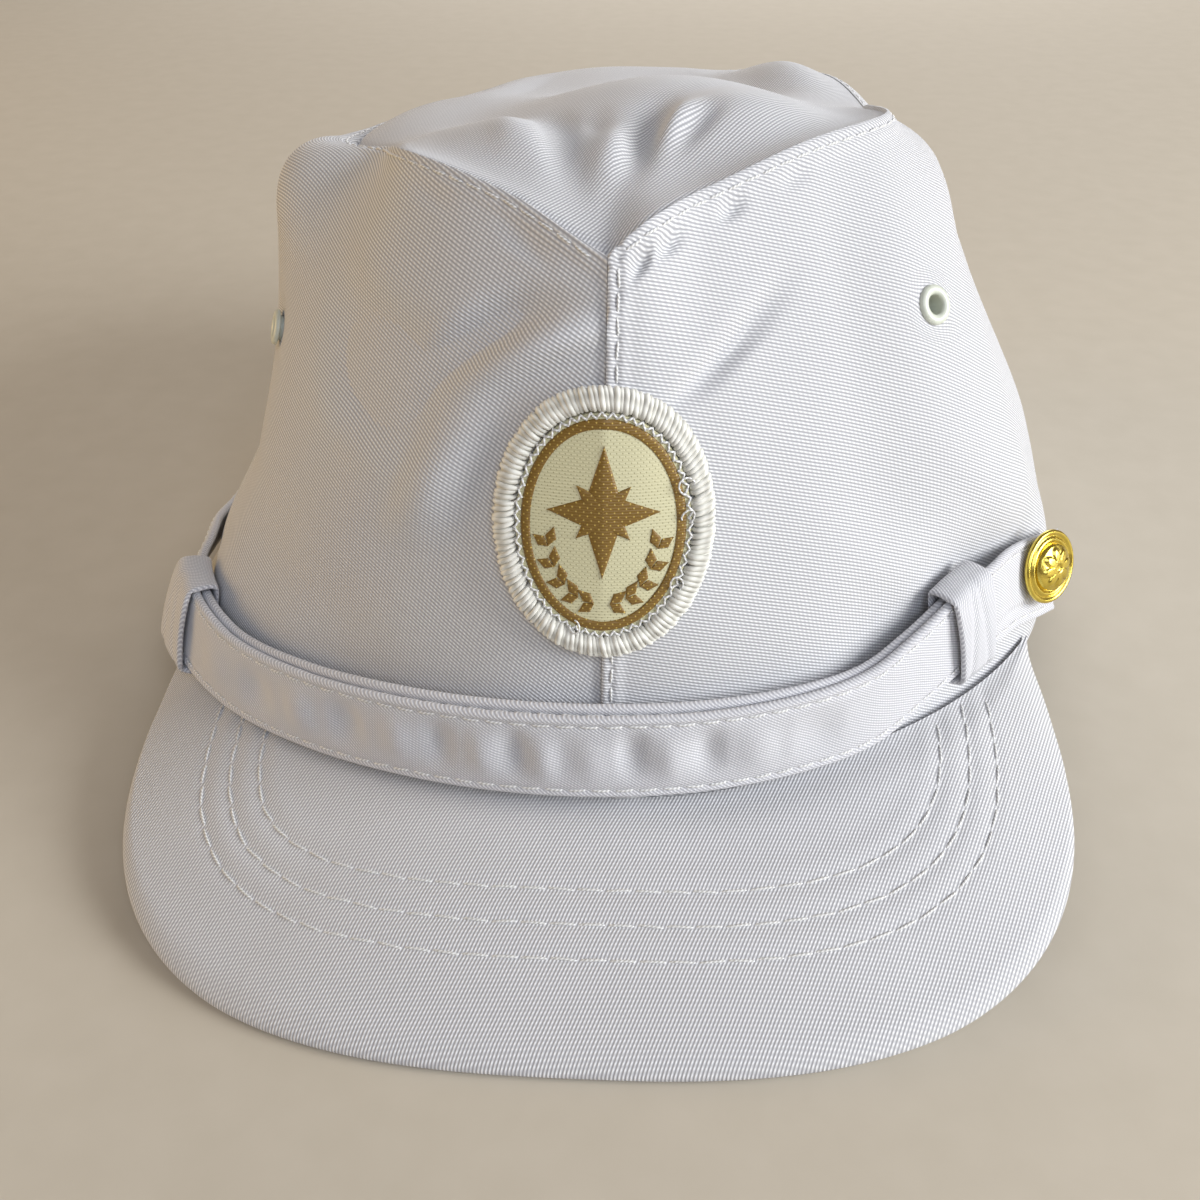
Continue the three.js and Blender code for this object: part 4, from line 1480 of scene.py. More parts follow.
@dataclass(frozen=True)
class Peak:
    """The stiff peak, covered with twill and quilted by three rows of stitches."""

    form: CapForm
    half_left: float = 80.5
    half_right: float = 78.6
    widest_y: float = -70.0
    reach: float = 61.0
    square_left: float = 2.75
    square_right: float = 2.55
    sweep_deg: float = 103.0
    end_deg: float = 57.0
    thick: float = 2.8
    edge: float = 2.0
    above_hem: float = 0.6
    right_lift: float = 3.5
    arch: float = 1.5
    flat_part: float = 0.35
    rib_deg: float = 65.0
    rows_in: tuple[float, ...] = (13.5, 18.2, 23.1)
    quilt: float = 0.17
    quilt_half: float = 0.8
    puff: float = 0.12
    puff_in: float = 2.4
    puff_half: float = 2.2
    stitch: StitchRow = StitchRow(4.3, 4.1, 0.2, 0.1)

    def rim(self, part: Points) -> Points:
        """Points of the rim.

        Args:
            part: -1 at the left end and 1 at the right.

        Returns:
            Settled points.
        """
        turn = np.radians(part * self.sweep_deg)
        left = part < 0
        power = 2 / np.where(left, self.square_left, self.square_right)
        s, c = np.sin(turn), np.cos(turn)
        x = np.where(left, self.half_left, self.half_right) * np.sign(s) * np.abs(s) ** power
        y = self.widest_y - self.reach * np.sign(c) * np.abs(c) ** power
        p = self.form.settle(np.stack([x, y, np.full_like(x, -self.reach / 3)], -1))
        root = float(self.form.settle(self.form.wall_level(self.end_deg, 0.0))[2])
        lift = np.maximum((np.abs(part) - self.flat_part) / (1 - self.flat_part), 0) ** 1.4
        p[..., 2] = (root - self.thick + self.above_hem) * lift + self.edge
        return p

    def point(self, part: Points, reach: Points) -> Points:
        """Points of the upper face.

        Args:
            part: -1 at the left end and 1 at the right.
            reach: 0 at the hem and 1 at the rim.

        Returns:
            Settled points.
        """
        angle = part * self.end_deg
        hem = self.form.wall_level(angle, np.zeros_like(reach))
        hem = hem + self.form.gap * self.form.outwards(angle)
        hem[..., 2] = self.above_hem + self.right_lift * step(0.1, 0.6, part)
        near = self.form.settle(hem)
        p = near + (self.rim(part) - near) * reach[..., None]
        p[..., 2] += self.arch * 4 * reach * (1 - reach) * (1 - part**2)
        p[..., 2] += (self.thick - self.edge) * step(1, 0.93, reach) * step(0, 0.2, reach)
        return p

    def build(self) -> list[Piece]:
        """Builds the peak and sews its rows.

        Returns:
            The covered peak and its stitches.
        """
        near_rim = [1, 0.998, 0.994, 0.988, 0.98, 0.97, 0.955]
        reach = np.concatenate([near_rim, np.linspace(0.935, 0, 62)])[None]
        part, reach = np.broadcast_arrays(np.linspace(-1, 1, 181)[:, None], reach)
        face = self.point(part, reach)
        thick = self.edge + (self.thick - self.edge) * step(1, 0.93, reach)
        span = self.point(part, np.ones_like(reach)) - self.point(part, np.zeros_like(reach))
        span = np.linalg.norm(span, axis=-1)
        roll = 1 - rolled((1 - reach) * span, self.edge / 2)
        back = face - np.stack([0 * thick, 0 * thick, thick], -1)
        inset = self.rim_distance(face)
        quilt = sum(self.quilt * bell((inset - d) / self.quilt_half) for d in self.rows_in)
        puff = sum(self.puff * swell((inset - d - self.puff_in) / self.puff_half) for d in self.rows_in)
        face[..., 2] += (puff - quilt) * step(0, 0.05, reach) - roll * thick / 2
        back[..., 2] += roll * thick / 2
        flat = turned_flat(self.point(part, reach)[..., :2], self.rib_deg)
        made = self.form.piece("cloth_peak", sheet_shell(face, back, flat), 60)
        finished(made, TWILL, Slot.TWILL, "peak")
        return [made, self.sew(made)]

    def rim_distance(self, points: Points) -> Points:
        """Distance from the rim in plan.

        Args:
            points: Settled points.

        Returns:
            Millimetres.
        """
        rim = self.rim(np.linspace(-1, 1, 721))[:, :2]
        flat = points[..., :2].reshape(-1, 2)
        lots = np.array_split(flat[:, None], len(flat) // 512 + 1)
        near = [np.linalg.norm(lot - rim, axis=-1).min(1) for lot in lots]
        return np.concatenate(near).reshape(points.shape[:-1])

    def sew(self, peak: Piece) -> Piece:
        """Sews the rows that follow the rim.

        Args:
            peak: The covered peak.

        Returns:
            The stitches.
        """
        faces = [p.vertices for p in peak.data.polygons]
        tree = BVHTree.FromPolygons([v.co for v in peak.data.vertices], faces)
        rim = self.rim(np.linspace(-1, 1, 1201))
        along = unit(np.gradient(rim[:, :2], axis=0))
        inwards = np.stack([-along[:, 1], along[:, 0]], -1)
        shells = []
        for k, distance in enumerate(self.rows_in):
            path, normal = [], []
            for x, y in rim[:, :2] + inwards * distance:
                start = self.form.place(np.array([x, y, 60.0]))
                hit, out, _, _ = tree.ray_cast(Vector(start), Vector((0, 0, -1)))
                if hit is None or math.degrees(abs(math.atan2(x, -y))) > self.end_deg - 1:
                    continue
                path.append(np.array(hit) / MM - np.array(self.form.shift))
                normal.append(np.array(out))
            row = replace(self.stitch, seed=20 + k)
            shells.append(row.shell(np.array(path), np.array(normal)))
        made = self.form.piece("thread_peak", Shell.joined(shells), 80)
        return finished(made, THREAD, Slot.THREAD)


@dataclass(frozen=True)
class ChinStrap:
    """The two layers of the chin strap with their edge stitching, and the two keepers."""

    form: CapForm
    wide: float = 15.0
    thick: float = 1.6
    outer: tuple[float, float] = (-53.0, 59.8)
    inner: tuple[float, float] = (-117.5, 41.8)
    drop: tuple[float, float] = (43.5, 53.0)
    keepers: dict[Side, tuple[float, float]] = field(
        default_factory=lambda: {Side.RIGHT: (36.8, 42.6), Side.LEFT: (-54.0, -47.6)}
    )
    keeper_thick: float = 1.0
    keeper_back: float = 0.8
    keeper_loose: float = 0.5
    keeper_crown: float = 0.5
    keeper_round: float = 0.8
    keeper_flare: float = 0.03
    keeper_fold: float = 0.32
    keeper_folds: tuple[Spot, ...] = ((0.34, 0.014), (0.68, -0.01))
    keeper_fold_half: float = 0.06
    keeper_bend: float = 0.8
    keeper_rib_deg: float = 65.0
    sewn_in: float = 1.5
    sewn_deep: float = 0.26
    sewn_half: float = 0.5
    edge_round: float = 0.8
    edge_puff: float = 0.1
    edge_puff_in: float = 0.7
    inner_share: float = 0.4
    stitch: StitchRow = StitchRow(3.6, 2.9)
    rib_deg: float = -36.0
    ripples: tuple[Dent, ...] = (
        Dent(-42, 0, 3, 6, 0.7),
        Dent(-36, 0, 3, 6, -1.1),
        Dent(-30, 0.5, 2.6, 6, 1.0),
        Dent(-24.4, 0.5, 2.6, 6, -1.2),
        Dent(-18.9, 0.3, 2.3, 6, 0.75),
        Dent(-14.7, 0.5, 2.1, 6, -1.1),
        Dent(-10.5, 0, 1.9, 6, 0.75),
        Dent(-7.6, 0.6, 1.6, 6, -1.05),
        Dent(-4.9, 0, 1.7, 6, 0.75),
        Dent(-0.8, 0, 2, 6, 0.45),
        Dent(2.9, 0.8, 1.8, 6, -1.2),
        Dent(6.2, 0, 1.8, 6, 0.7),
        Dent(9.6, 0.6, 2, 6, -1.05),
        Dent(14, 0, 2.6, 6, 0.6),
        Dent(20, 0, 3, 6, -0.6),
        Dent(50, -4.2, 9, 1.3, -0.75),
    )

    def depth(self, layer: Layer, angle: Points) -> Points:
        """How far a layer's inner face stands out from the strap's path."""
        if layer is Layer.INNER:
            return np.zeros_like(angle)
        return (self.thick + self.form.gap) * step(self.drop[1], self.drop[0], angle)

    def slip(self, layer: Layer, angle: Points) -> Points:
        """How far a layer is shifted up the strap's width."""
        return STRAP_ROWS.at("slip", angle) if layer is Layer.INNER else np.zeros_like(angle)

    def face(self, layer: Layer, angle: Points, across: Points, out: Points) -> Points:
        """Points of a layer, out from its inner face."""
        across = across + self.slip(layer, angle)
        return self.form.strap_point(angle, across, self.depth(layer, angle) + out)

    def relief(self, layer: Layer, angle: Points, across: Points) -> Points:
        """Sewn edges and soft ripples of a layer's outer face.

        Args:
            layer: Which layer.
            angle: Degrees from the front.
            across: Place over the strap's width.

        Returns:
            Millimetres, minus where the cloth dips.
        """
        from_edge = self.wide / 2 - np.abs(across)
        total = -self.sewn_deep * bell((from_edge - self.sewn_in) / self.sewn_half)
        total = total + self.edge_puff * swell((from_edge - self.edge_puff_in) / self.edge_round)
        total = total + sum(r.at(angle, across) for r in self.ripples)
        return total if layer is Layer.OUTER else self.inner_share * total

    def layer(self, layer: Layer) -> Cloth:
        """Builds one layer with rolled edges.

        Args:
            layer: Which layer.

        Returns:
            The layer.
        """
        start, end = self.outer if layer is Layer.OUTER else self.inner
        angle = np.linspace(start, end, 300)
        half = self.wide / 2
        edge = np.array([0, 0.06, 0.2, 0.42, 0.7, 1.0, 1.3, 1.6, 1.9, 2.3])
        across = np.concatenate([edge - half, np.linspace(2.9 - half, half - 2.9, 17), half - edge[::-1]])
        angle, across = np.broadcast_arrays(angle[:, None], across[None])
        path = self.face(layer, angle, 0 * across, 0 * across)
        run = np.linalg.norm(np.diff(path, axis=0, prepend=path[:1]), axis=-1).cumsum(0)
        ends = np.minimum(run, run[-1:] - run)
        share = rolled(half - np.abs(across), self.edge_round) * rolled(ends, self.edge_round)
        relief = self.relief(layer, angle, across)
        face = self.face(layer, angle, across, self.thick / 2 * (1 + share) + relief * share)
        back = self.face(layer, angle, across, self.thick / 2 * (1 - share))
        plan = np.stack([run, across], -1)
        shell = sheet_shell(face, back, turned_flat(plan, self.rib_deg))
        made = self.form.piece(f"cloth_strap_{layer.value}", shell, 70)
        finished(made, STRAP_TWILL, Slot.TWILL, f"strap_{layer.value}")
        return Cloth.cut(made, shell, plan)

    def stitches(self, layer: Layer) -> Piece:
        """Sews both edges of a layer.

        Args:
            layer: Which layer.

        Returns:
            The stitches.
        """
        start, end = self.outer if layer is Layer.OUTER else self.inner
        angle = np.linspace(start + 0.8, end - 1.2, 900)
        shells = []
        for k, sign in enumerate((1, -1)):
            across = np.full_like(angle, sign * (self.wide / 2 - self.sewn_in))
            relief = self.relief(layer, angle, across)
            path = self.face(layer, angle, across, self.thick + relief + 0.05)
            near = self.face(layer, angle, across, self.thick)
            out = unit(self.face(layer, angle, across, self.thick + 1) - near)
            shells.append(replace(self.stitch, seed=40 + k).shell(path, out))
        made = self.form.piece(f"thread_strap_{layer.value}", Shell.joined(shells), 80)
        return finished(made, THREAD, Slot.THREAD)

    def loop(self, corners: Points, count: int) -> Points:
        """A smooth closed line through corners.

        Args:
            corners: Depth and place across of each corner.
            count: Points of the line.

        Returns:
            The line's points, as depth and place across.
        """
        closed = np.concatenate([corners, corners[:1]])
        slope = (np.roll(corners, -1, 0) - np.roll(corners, 1, 0)) / 2
        slope = self.keeper_bend * np.concatenate([slope, slope[:1]])
        at = np.linspace(0, len(corners), count, endpoint=False)
        i = at.astype(int)
        return cubic((at - i)[:, None], closed[i], closed[i + 1], slope[i], slope[i + 1])

    def keeper(self, side: Side) -> Piece:
        """Builds a cloth loop round both layers.

        Args:
            side: Which side.

        Returns:
            The keeper.
        """
        start, end = self.keepers[side]
        slip = float(STRAP_ROWS.at("slip", np.array((start + end) / 2)))
        gap, t = self.form.gap, self.keeper_thick
        low = min(slip, 0) - self.wide / 2 - gap
        high = max(slip, 0) + self.wide / 2 + gap
        near, far = -gap, 2 * self.thick + gap + self.keeper_loose
        r, crown = self.keeper_round, self.keeper_crown
        behind = near - self.keeper_back / 2
        hole = [(far, low + r), (far + crown, 0), (far, high - r), (far - r, high)]
        hole += [(near, high), (near, 0), (near, low), (far - r, low)]
        band = [(far + t, low + r), (far + t + crown, 0), (far + t, high - r), (far - r, high + t)]
        band += [(behind, high + t * r), (near - self.keeper_back, 0)]
        band += [(behind, low - t * r), (far - r, low - t)]
        around = 72
        outer, inner = self.loop(np.array(band), around), self.loop(np.array(hole), around)
        lip = np.linspace(0, 0.12, 6)
        angle = np.concatenate([lip, np.linspace(0.18, 0.82, 14), 1 - lip[::-1]])
        length = np.radians(end - start) * float(STRAP_ROWS.at("radius", np.array(start)))
        share = rolled(np.minimum(angle, 1 - angle) * length, t / 2)
        middle = (outer + inner) / 2
        turn = np.broadcast_to((start + (end - start) * angle)[None], (around, len(angle)))
        flare = self.keeper_flare * (outer - inner)[:, None] * swell(1 - angle / 0.35)[None, :, None]
        front = step(near, far, outer[:, :1])
        folds = 0.0
        for at, lean in self.keeper_folds:
            folds = folds + bell((angle[None] - at - lean * outer[:, 1:]) / self.keeper_fold_half)

        def grid(line: Points, fold: float) -> Points:
            """One face of the loop, drawn to its middle at both lips and lightly creased in front."""
            spot = middle[:, None] + (line - middle)[:, None] * share[None, :, None] + flare
            return self.form.strap_point(turn, spot[..., 1], spot[..., 0] - fold * front * folds)

        face, back = grid(outer, self.keeper_fold), grid(inner, 0.0)
        run = np.linalg.norm(np.diff(outer, axis=0, prepend=outer[:1]), axis=-1).cumsum()
        flat = np.stack(np.broadcast_arrays(angle[None] * length, run[:, None]), -1)
        shell = sheet_shell(face, back, turned_flat(flat, self.keeper_rib_deg), ring=True)
        made = self.form.piece(f"cloth_keeper_{side.word}", shell, 70)
        return finished(made, STRAP_TWILL, Slot.TWILL, f"keeper_{side.word}")


@dataclass(frozen=True)
class Button:
    """A gilt side button: a domed face inside two raised rings, on a shank."""

    form: CapForm
    angle: float
    across: float
    turn_deg: float
    radius: float = 6.5
    dome: float = 2.5
    rim: float = 1.2
    shank_r: float = 1.8
    stand: float = 1.2
    strap_thick: float = 1.6
    dome_in: float = 2.5
    dome_drop: float = 0.35
    dome_rows: int = 24
    around: int = 96
    petals: int = 8
    relief: float = 0.34

    def place(self) -> Place:
        """Turns it a little on its shank.

        Returns:
            Where it stands on the strap.
        """
        origin = self.form.strap_point(self.angle, self.across, 0.0)
        hinge = unit(self.form.strap_point(self.angle, self.across + 1, 0.0) - origin)
        path = self.form.strap_point(self.angle, 0.0, 0.0)
        axis = unit(self.form.strap_point(self.angle, 0.0, 1.0) - path)
        c, s = math.cos(math.radians(self.turn_deg)), math.sin(math.radians(self.turn_deg))
        turned = axis * c + np.cross(hinge, axis) * s + hinge * (hinge @ axis) * (1 - c)
        return Place.at(origin, unit(turned))

    def build(self, name: str, node: str) -> Piece:
        """Turns the button and presses a plain rosette into its dome.

        Args:
            name: Name of the piece.
            node: The solid that it stands for.

        Returns:
            The button.
        """
        seat = self.strap_thick + self.form.gap + self.stand
        r, top = self.radius, seat + self.rim
        low, shank, face_r = self.strap_thick + 0.1, self.shank_r, self.radius - self.dome_in
        profile = [(0, low), (shank, low), (shank, seat)]
        profile += [(r - 0.9, seat), (r - 0.3, seat + 0.15), (r, seat + 0.5)]
        # The rolled edge, the ditch inside it, the second ring and the ditch round the dome.
        rings = ((0, -0.4), (0.15, -0.12), (0.45, 0), (0.75, -0.1), (0.95, -0.4), (1.15, -0.42))
        rings += ((1.35, -0.1), (1.65, 0.1), (1.95, 0), (2.1, -0.25), (2.3, -0.25))
        profile += [(r - inwards, top + rise) for inwards, rise in rings]
        inside = np.linspace(face_r, 0, self.dome_rows)
        crown = seat + self.dome * (0.5 + 0.5 * np.sqrt(1 - (inside / r) ** 2))
        crown = crown - self.dome_drop * (inside / face_r) ** 4
        profile = np.concatenate([np.array(profile), np.stack([inside, crown], -1)])
        turn = np.linspace(0, 2 * math.pi, self.around, endpoint=False)[:, None]
        share = profile[:, 0][None] / face_r
        on_dome = np.arange(len(profile))[None] >= len(profile) - self.dome_rows
        petal = np.abs(np.cos(turn * self.petals / 2)) ** 0.7
        raised = step(0.06, -0.06, share - (0.42 + 0.46 * petal)) - step(0.2, 0.12, share)
        relief = self.relief * raised * on_dome
        made = self.form.piece(name, lathe_shell(profile, self.place(), self.around, relief), 75)
        return finished(made, GILT, Slot.GILT, node)


@dataclass(frozen=True)
class Badge:
    """The oval front patch: a woven ground with a ring, star and leaves, edged with thick thread."""

    form: CapForm
    height: float = 45.4
    half_wide: float = 12.6
    half_tall: float = 16.2
    thick: float = 1.0
    stand: float = 0.4
    border_wide: float = 3.3
    border_thick: float = 1.9
    ring_out: float = 0.94
    ring_wide: float = 1.4
    gold_thick: float = 0.22
    gold_root: float = 0.15
    star_up: float = 2.2
    star_reach: tuple[float, ...] = (8.0, 5.4, 9.6, 5.4)
    star_half: tuple[float, ...] = (2.2, 1.7)
    star_shoulder: float = 0.27
    leaf_pairs: int = 5
    leaf_start_deg: float = -82.0
    leaf_step_deg: float = 16.5
    leaf_oval: Spot = (8.1, 11.4)
    leaf_leans: tuple[Spot, ...] = ((38, 3.1), (-34, 2.7))
    leaf_half: float = 0.85
    leaf_shoulder: float = 0.45
    strands: int = 138
    strand_r: float = 0.44
    cord_net: tuple[int, int] = (160, 16)
    zigzags: int = 110
    zigzag_r: float = 0.17
    loose_ends: tuple[tuple[float, ...], ...] = (
        (0.28, 1.0, 1.5),
        (0.02, -1.0, 1.2),
        (-0.62, 1.0, 1.3),
        (-1.95, -1.0, 1.1),
    )
    loose_r: float = 0.14
    mean_r: float = 15.0
    slope: float = 0.24

    def point(self, across: Points, up: Points, depth: Points) -> Points:
        """Points over the front wall.

        Args:
            across: Place to the right of the patch's middle.
            up: Place above its middle.
            depth: Distance out from the wall.

        Returns:
            Settled points.
        """
        across, up, depth = matched(across, up, depth)
        height = self.height + up / math.hypot(1, self.slope)
        front = np.zeros_like(height)
        middle, _ = self.form.section(front, self.form.up_at_height(front, height))
        angle = np.degrees(across / middle)
        wall = self.form.wall_level(angle, self.form.up_at_height(angle, height))
        return self.form.settle(wall + self.form.outwards(angle) * depth[..., None])

    def oval(self, add: Points, turn: Points, depth: Points) -> Points:
        """Points on ovals that run outside or inside the patch's edge by some distance."""
        across, up = (self.half_wide + add) * np.cos(turn), (self.half_tall + add) * np.sin(turn)
        return self.point(across, up, depth)

    def ground(self) -> Cloth:
        """Builds the woven ground.

        Returns:
            The ground.
        """
        turn = np.linspace(0, 2 * math.pi, 96, endpoint=False)[:, None]
        scale = np.linspace(1, 0, 22)[None]
        x = self.half_wide * scale * np.cos(turn)
        y = self.half_tall * scale * np.sin(turn)
        face = self.point(x, y, np.full_like(x, self.stand + self.thick))
        back = self.point(x, y, np.full_like(x, self.stand))
        plan = np.stack([x, y], -1)
        shell = sheet_shell(face, back, plan, ring=True, pole=True)
        made = finished(self.form.piece("satin_patch", shell), IVORY, Slot.SATIN, "badge_patch")
        return Cloth.cut(made, shell, plan)

    def blade(self, foot: Spot, tip: Spot, half: float, shoulder: float) -> Shell:
        """A pointed woven shape.

        Args:
            foot: Where it starts, across and up.
            tip: Where it ends.
            half: Half of its greatest width.
            shoulder: Part of its length where it is widest.

        Returns:
            The shape, a little raised from the ground.
        """
        t = np.linspace(0, 1, 17)[:, None]
        w = np.linspace(-1, 1, 9)[None]
        axis = np.array(tip) - np.array(foot)
        side = unit(np.array([-axis[1], axis[0]]))
        width = half * np.minimum(t / shoulder, (1 - t) / (1 - shoulder))
        x = foot[0] + axis[0] * t + side[0] * width * w
        y = foot[1] + axis[1] * t + side[1] * width * w
        low = self.stand + self.thick
        face = self.point(x, y, low + self.gold_thick * (1 - 0.7 * w**4) + 0 * x)
        return sheet_shell(face, self.point(x, y, low - self.gold_root + 0 * x), np.stack([x, y], -1))

    def motif(self) -> Piece:
        """Builds the gold ring, an eight-pointed star and two sprays of leaves.

        Returns:
            The motif.
        """
        turn = np.linspace(0, 2 * math.pi, 144, endpoint=False)[:, None]
        add = (self.ring_out - 1) * self.half_wide - np.linspace(0, self.ring_wide, 7)[None]
        low = self.stand + self.thick
        arch = np.linspace(-1, 1, 7)[None] ** 4
        face = self.oval(add, turn, low + self.gold_thick * (1 - 0.6 * arch) + 0 * turn)
        back = self.oval(add, turn, low - self.gold_root + 0 * turn + 0 * add)
        x, y = (self.half_wide + add) * np.cos(turn), (self.half_tall + add) * np.sin(turn)
        shells = [sheet_shell(face, back, np.stack([x, y], -1), ring=True)]
        for k in range(8):
            a, reach = math.pi * k / 4, self.star_reach[k % 4]
            tip = (reach * math.cos(a), self.star_up - reach * math.sin(a))
            shells.append(self.blade((0.0, self.star_up), tip, self.star_half[k % 2], self.star_shoulder))
        for sign in (-1, 1):
            for k in range(self.leaf_pairs):
                a = math.radians(self.leaf_start_deg + self.leaf_step_deg * k)
                base = (sign * self.leaf_oval[0] * math.cos(a), self.leaf_oval[1] * math.sin(a))
                for lean, reach in self.leaf_leans:
                    b = a + math.pi / 2 + math.radians(lean) - 0.1
                    tip = (base[0] + sign * reach * math.cos(b), base[1] + reach * math.sin(b))
                    shells.append(self.blade(base, tip, self.leaf_half, self.leaf_shoulder))
        made = self.form.piece("gold_motif", Shell.joined(shells), 70)
        return finished(made, GOLD, Slot.SATIN)

    def border(self) -> Piece:
        """Builds the overlocked border from strands that lie side by side over a cord.

        Returns:
            The border.
        """
        draw = np.random.default_rng(11)
        one_each = (self.strands, 1)
        turn = np.linspace(0, 2 * math.pi, self.strands, endpoint=False)[:, None]
        t = np.linspace(0, 1, 13)[None]
        gap, wide = self.form.gap, self.border_wide
        slant = 0.055 + draw.uniform(-0.03, 0.03, one_each)
        swing = draw.uniform(-0.6, 0.6, one_each)
        proud = draw.uniform(-0.24, 0.14, one_each)
        add = gap + 0.25 * swing * (1 - t) + (wide - 0.35) * (0.5 - 0.5 * np.cos(math.pi * t)) + 0.1
        top = self.border_thick - self.strand_r
        bow = np.sin(math.pi * np.clip(t * 0.94 + 0.03, 0, 1)) ** 0.55
        depth = self.stand + 0.3 + (top - 0.25 + proud) * bow
        centre = self.oval(add, turn + slant * (t - 0.5), depth)
        middle = self.oval(0 * t + gap + wide / 2, turn + 0 * t, 0 * depth - 1.0)
        plump = draw.uniform(-0.1, 0.06, one_each)
        radius = self.strand_r * (0.82 + 0.18 * np.sin(math.pi * t)) + plump
        strands = tube_shell(centre, unit(centre - middle), radius, 8)
        rows, cols = self.cord_net
        around = np.linspace(0, 2 * math.pi, rows, endpoint=False)[:, None]
        u = np.linspace(0, 2 * math.pi, cols, endpoint=False)[None]
        core_add = gap + wide / 2 + 0.1 + (wide / 2 - 0.35) * np.cos(u)
        core_depth = self.stand + 0.75 + (self.border_thick / 2 - 0.35) * np.sin(u)
        core = self.oval(core_add, around, core_depth)
        faces = []
        for i in range(rows):
            for j in range(cols):
                n, m = (i + 1) % rows, (j + 1) % cols
                faces.append((i * cols + j, n * cols + j, n * cols + m, i * cols + m))
        flat = np.stack(np.broadcast_arrays(around * self.mean_r, core_add), -1)
        cord = Shell(core.reshape(-1, 3), faces, flat.reshape(-1, 2))
        made = self.form.piece("thread_border", Shell.joined([strands, cord]), 80)
        return finished(made, BORDER, Slot.THREAD, "badge_border")

    def chain(self) -> Piece:
        """Builds the zigzag of thread along the border's inner edge, with its loose ends.

        Returns:
            The zigzag.
        """
        draw = np.random.default_rng(5)
        count, low = self.zigzags, self.stand + self.thick
        turn = np.linspace(0, 2 * math.pi, count, endpoint=False)[:, None]
        t = np.linspace(0, 1, 7)[None]
        width = 2 * math.pi / count
        zig = np.where(np.arange(count)[:, None] % 2 == 0, t, 1 - t)
        add = 0.15 - 0.75 * zig + draw.uniform(-0.12, 0.12, (count, 1))
        depth = low + 0.12 + 0.16 * np.sin(math.pi * t) + 0 * turn
        centre = self.oval(add, turn + width * t * 1.1, depth)
        out = unit(centre - self.oval(add, turn + 0 * t, depth - 1))
        shells = [tube_shell(centre, out, np.full(centre.shape[:2], self.zigzag_r))]
        s = np.linspace(0, 1, 25)
        for a, curl, size in self.loose_ends:
            swirl = curl * 5.2 * s
            x = -0.4 - size * np.sin(swirl) * (0.4 + 0.6 * s)
            y = size * (1 - np.cos(swirl)) * 0.8
            way = self.oval(x, a + y / self.mean_r, low + 0.35 + 0.5 * np.sin(math.pi * s))
            normal = np.broadcast_to(out[0, 0], way.shape)
            shells.append(tube_shell(way[None], normal[None], np.full((1, len(s)), self.loose_r)))
        made = self.form.piece("thread_chain", Shell.joined(shells), 80)
        return finished(made, THREAD, Slot.THREAD)


class Lamp(NamedTuple):
    """A soft box: its name, its place and side in metres, its power in watts and its sRGB colour."""

    name: str
    at: tuple[float, float, float]
    size: float
    watts: float
    colour: str

    def hang(self, aim: tuple[float, float, float]) -> None:
        """Adds the soft box.

        Args:
            aim: Where it points, in metres.
        """
        data = bpy.data.lights.new(self.name, "AREA")
        data.shape, data.size, data.energy = "SQUARE", self.size, self.watts
        data.color = linear(self.colour)[:3]
        made = bpy.data.objects.new(self.name, data)
        made.location = self.at
        made.rotation_euler = (Vector(aim) - Vector(self.at)).to_track_quat("-Z", "Y").to_euler()
        bpy.context.scene.collection.objects.link(made)


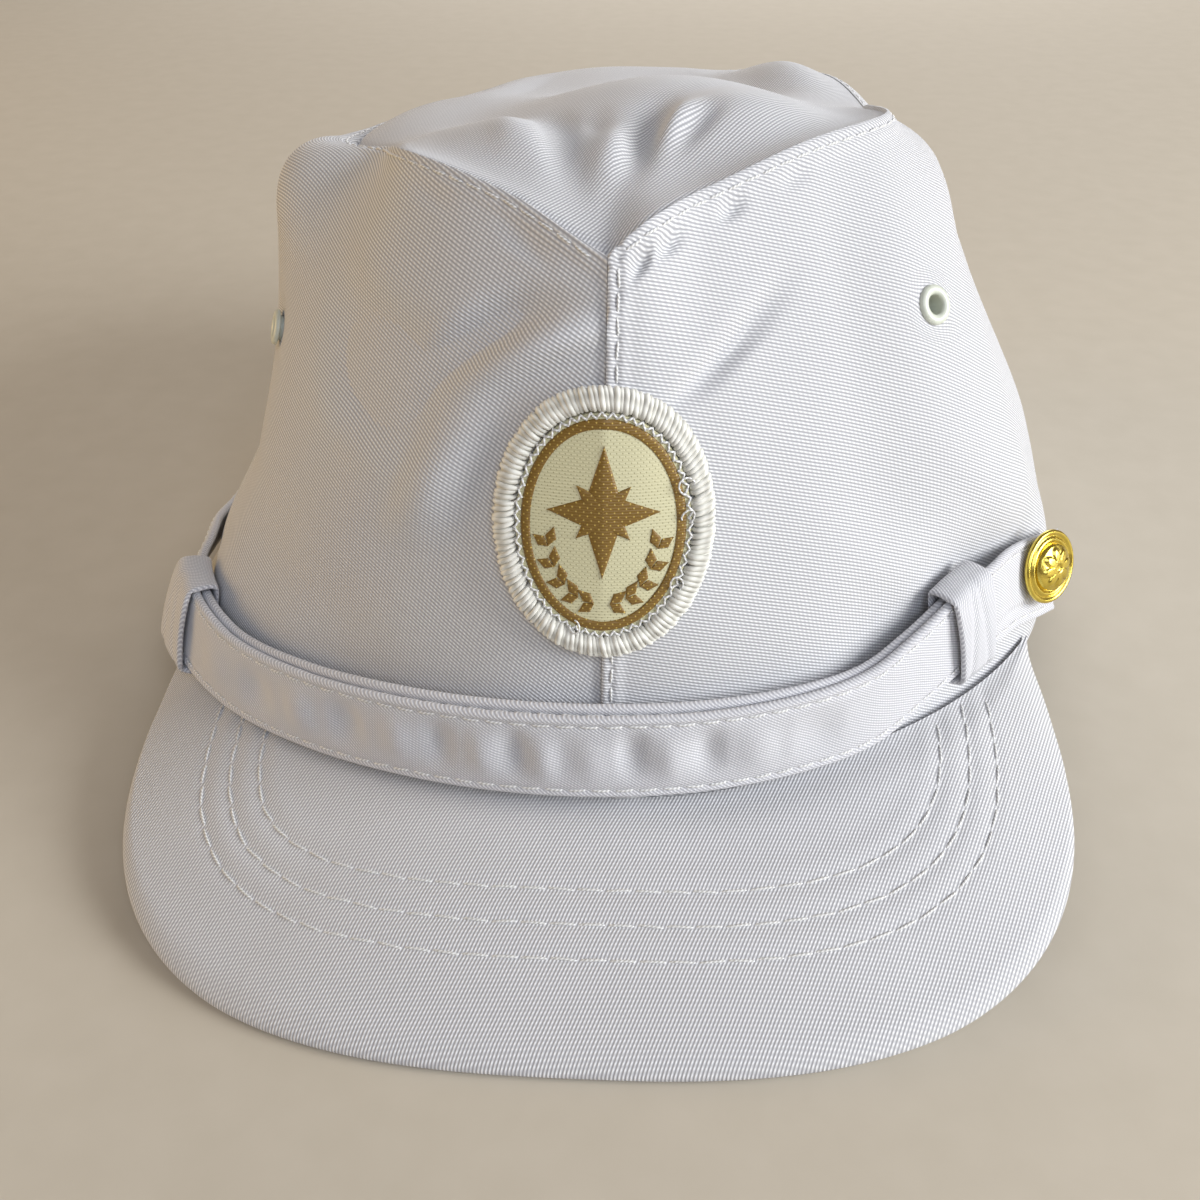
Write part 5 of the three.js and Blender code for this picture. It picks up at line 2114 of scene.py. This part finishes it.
@dataclass(frozen=True)
class Studio:
    """Camera, floor and soft light."""

    camera_at: tuple[float, float, float] = (5.94, -206.87, 155.19)
    pitch_deg: float = 37.0
    yaw_deg: float = 2.5
    lens: float = 36.0
    floor_half: float = 4000.0
    floor_below: float = 0.2
    aim: tuple[float, float, float] = (0.0, 0.0, 0.04)
    lamps: tuple[Lamp, ...] = (
        Lamp("key", (1.0, -0.3, 0.44), 0.6, 14.6, "#fbfdff"),
        Lamp("fill", (-0.95, 0.05, 0.12), 0.5, 4.6, "#ffd794"),
        Lamp("front", (0.2, -0.95, 0.9), 0.8, 6.0, "#deeaff"),
        Lamp("behind", (0.1, 1.2, 0.3), 0.9, 9.0, "#fbfcff"),
    )
    sky: str = "#ffecd6"
    sky_strength: float = 0.22

    def camera(self) -> None:
        """Sets the camera in front of the peak, looking down."""
        data = bpy.data.cameras.new("camera")
        data.sensor_fit, data.sensor_width, data.lens = "HORIZONTAL", 36.0, self.lens
        data.clip_start = 0.01
        made = bpy.data.objects.new("camera", data)
        made.location = [v * MM for v in self.camera_at]
        made.rotation_euler = (math.radians(90 - self.pitch_deg), 0, math.radians(self.yaw_deg))
        bpy.context.scene.collection.objects.link(made)
        bpy.context.scene.camera = made

    def floor(self) -> None:
        """Lays the floor."""
        mesh = bpy.data.meshes.new("floor")
        h = self.floor_half * MM
        mesh.from_pydata([(-h, -h, 0), (h, -h, 0), (h, h, 0), (-h, h, 0)], [], [(0, 1, 2, 3)])
        made = bpy.data.objects.new("floor", mesh)
        made.location.z = -self.floor_below * MM
        mesh.materials.append(PaperFloor().material())
        bpy.context.scene.collection.objects.link(made)

    def light(self) -> None:
        """Sets a window-like key at the right, a warm low fill at the left and soft light all round."""
        for lamp in self.lamps:
            lamp.hang(self.aim)
        world = bpy.data.worlds.new("studio")
        world.use_nodes = True
        sky = world.node_tree.nodes["Background"]
        sky.inputs["Color"].default_value = linear(self.sky)
        sky.inputs["Strength"].default_value = self.sky_strength
        bpy.context.scene.world = world
        bpy.context.scene.view_settings.view_transform = "Standard"


def main() -> None:
    """Builds the studio and the cap's pieces in order."""
    logging.basicConfig(level=logging.INFO, format="%(name)s: %(message)s")
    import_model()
    studio = Studio()
    studio.camera()
    studio.floor()
    studio.light()
    form = CapForm().fitted()
    LOG.info("shift into the frame %s", [round(v, 4) for v in form.shift])
    eyelets = {Side.RIGHT: Eyelet(form, 40.8, 68), Side.LEFT: Eyelet(form, -57, 56)}
    crown = Crown(form, eyelets)
    strap = ChinStrap(form)
    walls = ("side_panel_right", "side_panel_left")
    keepers = []
    for side in Side:
        crown.panel(side).declare(Hold.STRETCHED, extras=[crown.stitches(side)])
        eyelets[side].build(f"enamel_eyelet_{side.word}", f"eyelet_{side.word}")
        keepers.append(strap.keeper(side))
    TopPanel(form).build().declare(Hold.STRETCHED, walls)
    Peak(form).build()
    Button(form, 55, 2.4, -10).build("gilt_button_right", "button_right")
    Button(form, -112, 1, 10).build("gilt_button_left", "button_left")
    sewn = {layer: [strap.stitches(layer)] for layer in Layer}
    sewn[Layer.OUTER] += keepers
    buttons = {Layer.OUTER: ("button_right",), Layer.INNER: ("button_left",)}
    for layer in Layer:
        strap.layer(layer).declare(Hold.STRETCHED, buttons[layer], sewn[layer])
    badge = Badge(form)
    badge.ground().declare(Hold.LAID, walls, [badge.motif(), badge.border(), badge.chain()])


if __name__ == "__main__":
    main()
